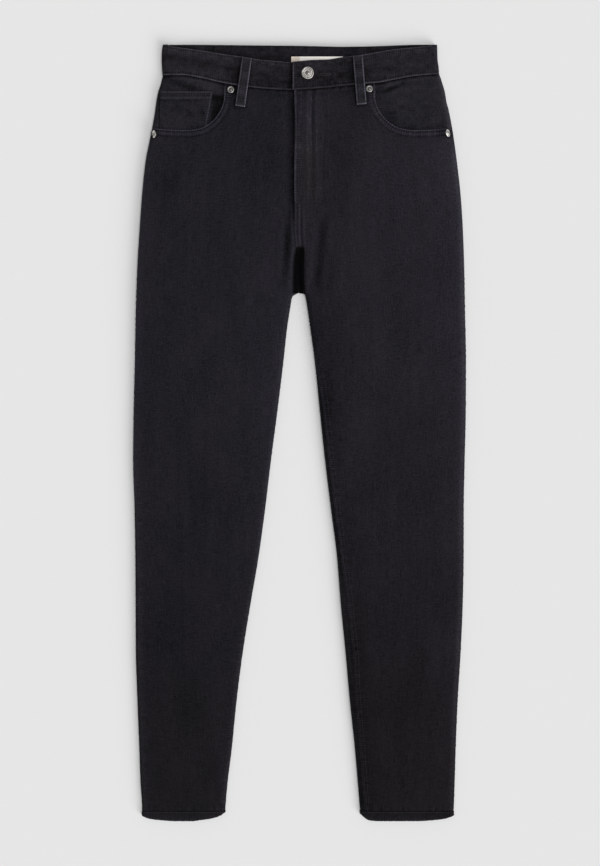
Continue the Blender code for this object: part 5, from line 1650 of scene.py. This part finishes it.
def sew_all(made):
    for side in SIDE:
        s = SIDE[side]
        front = made[f"front_{side}"]
        line = mouth_line(side)
        line[:, 0] *= s
        pick = line[line[:, 1] > float(front_seam(s * MOUTH_START)) + 1.0]
        rows = [offset_line(pick, off * -s) for off in (1.5, 7.6)]
        rows = [r[(np.abs(r[:, 0]) < outer(side, r[:, 1]) - 3.5)] for r in rows]
        capsules(f"stitch_mouth_{side}", sewn(rows), [front], M_PALE_THREAD if side == "L" else M_THREAD, carrier=front)
        if side == "L":
            edge = lambda d: look(RISE, 1, d)
            rows = [drop_line(lambda d: edge(d) + 2.2, 62.0, 200.0), drop_line(lambda d: edge(d) + 2.0, 204.0, 263.0),
                    drop_line(lambda d: edge(d) + 7.4, 206.0, 262.0)]
            capsules("stitch_fly_edge", sewn(rows[:1]), [front], M_THREAD, carrier=front)
            capsules("stitch_rise", sewn(rows[1:]), [front], M_PALE_THREAD, width=0.6, carrier=front)
            d = np.linspace(60.0, 190.0, 60)
            curve = [(32.5 + 0.8 * math.sin(v / 20.0), v) for v in d]
            for k in range(1, 15):
                w = math.pi / 2 * k / 14
                curve.append((32.5 - 27.0 * (1 - math.cos(w)), 190.0 + 25.0 * math.sin(w)))
            second = [(x + (5.2 if v < 190 else 5.2 * math.cos(math.atan2(v - 190.0, 26.0))), v + (4.0 * (v - 190.0) / 25.0 if v > 190 else 0)) for x, v in curve]
            capsules("stitch_fly", sewn([curve, second]), [front], M_TONAL, carrier=front)
            bars = [((4.6, 199.0 + 0.45 * k), (6.6, 199.3 + 0.45 * k)) for k in range(14)]
            bars += [((24.0 + 0.3 * k, 186.0 + 0.45 * k), (27.4 + 0.3 * k, 186.0 + 0.45 * k)) for k in range(8)]
            capsules("tack_fly", bars, [front], M_THREAD, width=0.5, carrier=front)
            rows = [drop_line(lambda d: inner("L", d) + inseam("L", d) * 0.98 - 3.4 + 6.2, 425.0, 990.0)]
            capsules("stitch_inseam", sewn(rows), [front], M_THREAD, carrier=front)
        back = made[f"back_{side}"]
        rows = [across_line(lambda x: yoke_seam(x) + off, s * 3.0, s * 178.0) for off in (2.0, 7.6)]
        rows += [drop_line(lambda d: s * (2.0 + off) + 0 * d, 112.0, 318.0) for off in ((0.0, 5.6) if side == "L" else (1.6,))]
        capsules(f"stitch_back_{side}", sewn(rows), [back], M_THREAD, below=True, carrier=back)
        pocket = made[f"pocket_{side}"]
        c = np.array(BACK_POCKET)
        c = np.concatenate([c, c[:1]])
        mid = c[:-1].mean(0)
        rows = []
        for inset in (0.967, 0.87):
            ring = mid + (c - mid) * inset
            rows.append(ring[1:6] * [s, 1])
        rows.append((np.array([c[0], c[1]]) + [[3, 9], [-3, 9]]) * [s, 1])
        rows = [[tuple(a + (b - a) * t) for a, b in zip(r[:-1], r[1:]) for t in np.linspace(0, 1, 12)[:-1]] + [tuple(r[-1])] for r in rows]
        capsules(f"stitch_pocket_{side}", sewn(rows), [pocket], M_THREAD, below=True, carrier=pocket)
        cuff = made[f"hem_{side}"]
        low = float(HEM_TOP) + 2.2
        rows = [across_line(lambda x: low + 0 * x, s * (inner(side, low) + 1.5), s * (outer(side, low) - 1.5))]
        capsules(f"stitch_hem_{side}", sewn(rows, pitch=3.6), [cuff], M_PALE_THREAD, width=0.55, carrier=cuff)
        capsules(f"stitch_hem_under_{side}", sewn(rows, pitch=3.6), [cuff], M_THREAD, width=0.55, below=True, carrier=cuff)
    band = made["band"]
    top = lambda x: look(WAIST, 1, x) + 2.2
    low = lambda x: front_seam(x) - 2.3
    rows = [across_line(f, a, b, 3.0) for f in (top, low) for a, b in ((-174.0, -10.5), (-6.4, 174.0))]
    rows.append(drop_line(lambda d: -6.4 + 0 * d, 26.0, 55.0))
    capsules("stitch_band", sewn(rows), [band], M_THREAD, carrier=band)
    rows = [across_line(lambda x: look(WAIST, 3, x) + 2.2, -172.0, 172.0), across_line(lambda x: back_seam(x) - 2.3, -172.0, 172.0)]
    capsules("stitch_band_back", sewn(rows), [band], M_THREAD, below=True, carrier=band)
    # the front loops' stitching and bar tacks
    for side in SIDE:
        loop, (top, bottom, run, ux, ud) = made[f"loop_{side}"]
        place = lambda o, v: (top[0] + ux * v + o * ud, top[1] + ud * v - o * ux)
        rows = [[place(o, 1.0), place(o, run * 0.25), place(o, run * 0.5), place(o, run * 0.75), place(o, run - 1.0)] for o in (-4.2, 4.2)]
        segs = sewn(rows, pitch=2.8)
        capsules(f"stitch_loop_{side}", segs, [loop], M_THREAD, carrier=loop)
        bars = []
        for k in range(20):
            o = -5.6 + 11.2 * k / 19
            bars.append((place(o, run - 4.4), place(o + 0.5, run - 1.9)))
            bars.append((place(o, 1.5), place(o + 0.5, 3.7)))
        capsules(f"tack_loop_{side}", bars, [loop], M_THREAD, width=0.46, carrier=loop)
    for name in ("R", "L", "C"):
        loop = made[f"loop_back_{name}"]
        x0 = {"R": -105.0, "L": 105.0, "C": 0.0}[name]
        rows = [[(x0 + o, 3.0), (x0 + o, 35.0), (x0 + o, 65.0)] for o in (-4.2, 4.2)]
        bars = [((x0 - 5.4 + 0.6 * k, d), (x0 - 5.0 + 0.6 * k, d + 2.2)) for k in range(18) for d in (3.0, 62.4)]
        capsules(f"stitch_loop_back_{name}", sewn(rows, 2.8) + bars, [loop], M_THREAD, below=True, carrier=loop)
    coin = made["coin"]
    rows = [across_line(lambda x: POCKET_TOP + off + 0 * x, -178.0, -115.0) for off in (1.6, 7.2)]
    rows.append([(-114.8, 63.5), (-118.0, 80.0), (-122.0, 100.0)])
    capsules("stitch_coin", sewn(rows, 3.0), [coin], M_PALE_THREAD, width=0.55, carrier=coin)
    # buttonhole: threads round a slit, and a dark bar in the slit as painted shade
    ring = []
    cx, cd, half = 33.6, 39.3, 5.4
    for k in range(52):
        s = k / 52 * (4 * half + 2 * math.pi * 1.3)
        if s < 2 * half:
            o, nrm = (-half + s, -0.2), (0.0, -1.0)
        elif s < 2 * half + math.pi * 1.3:
            w = (s - 2 * half) / 1.3 - math.pi / 2
            o, nrm = (half, 0.0), (math.cos(w), math.sin(w))
        elif s < 4 * half + math.pi * 1.3:
            o, nrm = (half - (s - 2 * half - math.pi * 1.3), 0.2), (0.0, 1.0)
        else:
            w = (s - 4 * half - math.pi * 1.3) / 1.3 + math.pi / 2
            o, nrm = (-half, 0.0), (math.cos(w), math.sin(w))
        ring.append(((cx + o[0] + nrm[0] * 0.35, cd + o[1] + nrm[1] * 0.35),
                     (cx + o[0] + nrm[0] * 1.9 + 0.1, cd + o[1] + nrm[1] * 1.9)))
    capsules("buttonhole", ring, [band], M_THREAD, width=0.6, carrier=band)
    capsules("buttonhole_slit", [((cx - half, cd), (cx + half, cd))], [band], M_SLIT_SHADE, width=0.8, carrier=band)


# ------------------------------------------------------------------- hardware
def turned(name, profile, at, tilt, mat, node, steps=64, flat=()):
    """A turned piece from (radius, height) rows, placed and leaned."""
    made = bmesh.new()
    widest = max(r for r, _ in profile)
    line = [made.verts.new((r, 0, z)) for r, z in profile]
    edges = [made.edges.new(pair) for pair in zip(line, line[1:])]
    bmesh.ops.spin(made, geom=line + edges, cent=(0, 0, 0), axis=(0, 0, 1), angle=2 * math.pi,
                   steps=steps, use_merge=True)
    bmesh.ops.remove_doubles(made, verts=made.verts[:], dist=0.004)
    bmesh.ops.recalc_face_normals(made, faces=made.faces[:])
    if made.calc_volume(signed=True) < 0:
        bmesh.ops.reverse_faces(made, faces=made.faces[:])
    rings = [math.hypot(v.co.x, v.co.y) / widest for v in made.verts]
    place = Matrix.Scale(MM, 4) @ Matrix.Translation(at) @ tilt
    bmesh.ops.transform(made, matrix=place, verts=made.verts[:])
    mesh = bpy.data.meshes.new(name)
    made.to_mesh(mesh)
    made.free()
    mesh.attributes.new("ring", "FLOAT", "POINT").data.foreach_set("value", rings)
    mesh.shade_smooth()
    mesh.set_sharp_from_angle(angle=math.radians(38))
    obj = bpy.data.objects.new(name, mesh)
    bpy.context.scene.collection.objects.link(obj)
    mesh.materials.append(mat)
    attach(obj, "root")
    if node:
        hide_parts(node)
    return obj


def hardware(made):
    at = touch([made["band"]], 10.7, 38.4, False)
    base = at[0].z + 0.15
    profile = (
        (0, -0.6), (3.2, -0.6), (3.0, 1.3), (6.9, 1.55), (7.9, 1.9), (8.25, 2.5), (8.2, 3.1), (7.8, 3.7),
        (7.2, 3.98), (6.6, 3.9), (6.15, 3.5), (5.95, 3.2), (5.2, 3.12), (4.9, 3.3), (4.55, 3.42), (4.2, 3.3), (3.95, 3.1),
        (3.1, 3.1), (2.8, 3.45), (2.3, 3.72), (1.6, 3.86), (0.8, 3.92), (0, 3.94),
    )
    lean = Matrix.Rotation(math.radians(3.0), 4, "X") @ Matrix.Rotation(math.radians(-4.0), 4, "Y")
    turned("button_shank", profile, (10.7, LENGTH / 2 - 38.4, base), lean, M_BUTTON, "button", steps=96)
    dome = (
        (0, -0.9), (4.2, -0.9), (4.85, -0.2), (4.88, 0.25), (4.5, 0.7), (3.9, 0.92), (3.4, 0.78), (3.0, 0.52),
        (2.5, 0.48), (2.15, 0.72), (1.9, 1.2), (1.45, 1.48), (0.7, 1.6), (0, 1.62),
    )
    flatter = tuple((r * 0.94, z) for r, z in dome)
    for side, x, drop in (("R", -89.3, 59.3), ("L", 90.6, 58.2)):
        at = touch([made[f"front_{side}"], made[f"facing_{side}"]], x, drop, False)
        turned(f"rivet_upper_{side}", flatter, (x, LENGTH / 2 - drop, at[0].z + 0.25),
               Matrix.Rotation(math.radians(2.0 * SIDE[side]), 4, "Y"), M_RIVET, f"rivet_top_{side}", steps=56)
    for side, x, drop, lean, swing in (("R", 188.7, 117.4, 58.0, 5.0), ("L", 192.2, 116.2, 53.0, 9.0)):
        s = SIDE[side]
        at = touch([made[f"front_{side}"], made[f"facing_{side}"]], s * x, drop, False)
        tilt = Matrix.Rotation(math.radians(swing), 4, "Z") @ Matrix.Rotation(s * math.radians(lean), 4, "Y")
        turned(f"rivet_lower_{side}", dome, (s * x, LENGTH / 2 - drop, at[0].z + 0.5), tilt, M_BRIGHT,
               f"rivet_side_{side}", steps=56)


# painted shade for the inside of the buttonhole's slit
M_SLIT_SHADE = thread("slit_shade", (0.0105, 0.0098, 0.0120))
MADE = {}
for which in ("R", "L"):
    MADE[f"front_{which}"] = front_panel(which)
    back_panel(which)
    MADE[f"back_{which}"] = bpy.data.objects[f"cloth_back_{which}"]
    yoke(which)
    back_pocket(which)
    MADE[f"pocket_{which}"] = bpy.data.objects[f"pocket_back_{which}"]
    MADE[f"facing_{which}"] = pocket_facing(which)
    MADE[f"hem_{which}"] = hem(which)
MADE["coin"] = coin_pocket()
fly_shield()
MADE["band"] = waistband()
MADE["loop_R"] = front_loop("R", *LOOPS[0])
MADE["loop_L"] = front_loop("L", *LOOPS[1])
for which, where in (("R", -105.0), ("L", 105.0), ("C", 0.0)):
    MADE[f"loop_back_{which}"] = back_loop(which, where)
MADE["label"] = label()
sew_all(MADE)
hardware(MADE)


# ---------------------------------------------------------------- camera etc.
def camera():
    data = bpy.data.cameras.new("camera")
    data.type = "PERSP"
    data.lens, data.sensor_width = 85.0, 36.0
    data.clip_end = 20.0
    made = bpy.data.objects.new("camera", data)
    bpy.context.scene.collection.objects.link(made)
    tall = 866 * 1.3 * MM
    made.location = (0.0006, -0.0008, 0.005 + tall * data.lens / data.sensor_width)
    made.rotation_euler = (0, 0, 0)
    bpy.context.scene.camera = made


def floor():
    size = 4.0
    mesh = bpy.data.meshes.new("floor")
    mesh.from_pydata([(-size, -size, -0.0003), (size, -size, -0.0003), (size, size, -0.0003), (-size, size, -0.0003)], [], [(0, 1, 2, 3)])
    made = bpy.data.objects.new("floor", mesh)
    bpy.context.scene.collection.objects.link(made)
    mat, tree, shader = nodes_of("floor")
    shader.inputs["Base Color"].default_value = (0.80, 0.80, 0.80, 1)
    shader.inputs["Roughness"].default_value = 1.0
    shader.inputs["Specular IOR Level"].default_value = 0.0
    mesh.materials.append(mat)
    made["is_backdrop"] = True


def lights():
    world = bpy.data.worlds.new("studio")
    bpy.context.scene.world = world
    world.use_nodes = True
    back = world.node_tree.nodes["Background"]
    back.inputs["Color"].default_value = (1, 1, 1, 1)
    back.inputs["Strength"].default_value = 0.22
    # name, share of the floor's light, elevation, azimuth it comes from, softness
    for name, share, up, turn, soft in (
        ("overhead", 0.50, 80.0, -45.0, 36.0),
        ("side", 0.27, 28.0, -45.0, 36.0),
    ):
        data = bpy.data.lights.new(name, "SUN")
        data.angle = math.radians(soft)
        data.energy = share * math.pi / math.sin(math.radians(up))
        made = bpy.data.objects.new(name, data)
        bpy.context.scene.collection.objects.link(made)
        e, t = math.radians(up), math.radians(turn)
        ray = Vector((math.cos(e) * math.cos(t), math.cos(e) * math.sin(t), math.sin(e)))
        made.rotation_euler = ray.to_track_quat("Z", "Y").to_euler()
    view = bpy.context.scene.view_settings
    view.view_transform = "Standard"
    view.look = "None"
    view.exposure = 0.0


camera()
floor()
lights()

for obj, flat, area, rests_on in SHEETS:
    list(rests_on)
    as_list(ON_SHEET.get(obj.name, []))

plain = lambda box: [[float(v) for v in corner] for corner in box]
{"cad": plain(CAD_BOX), "visual": plain(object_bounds())}
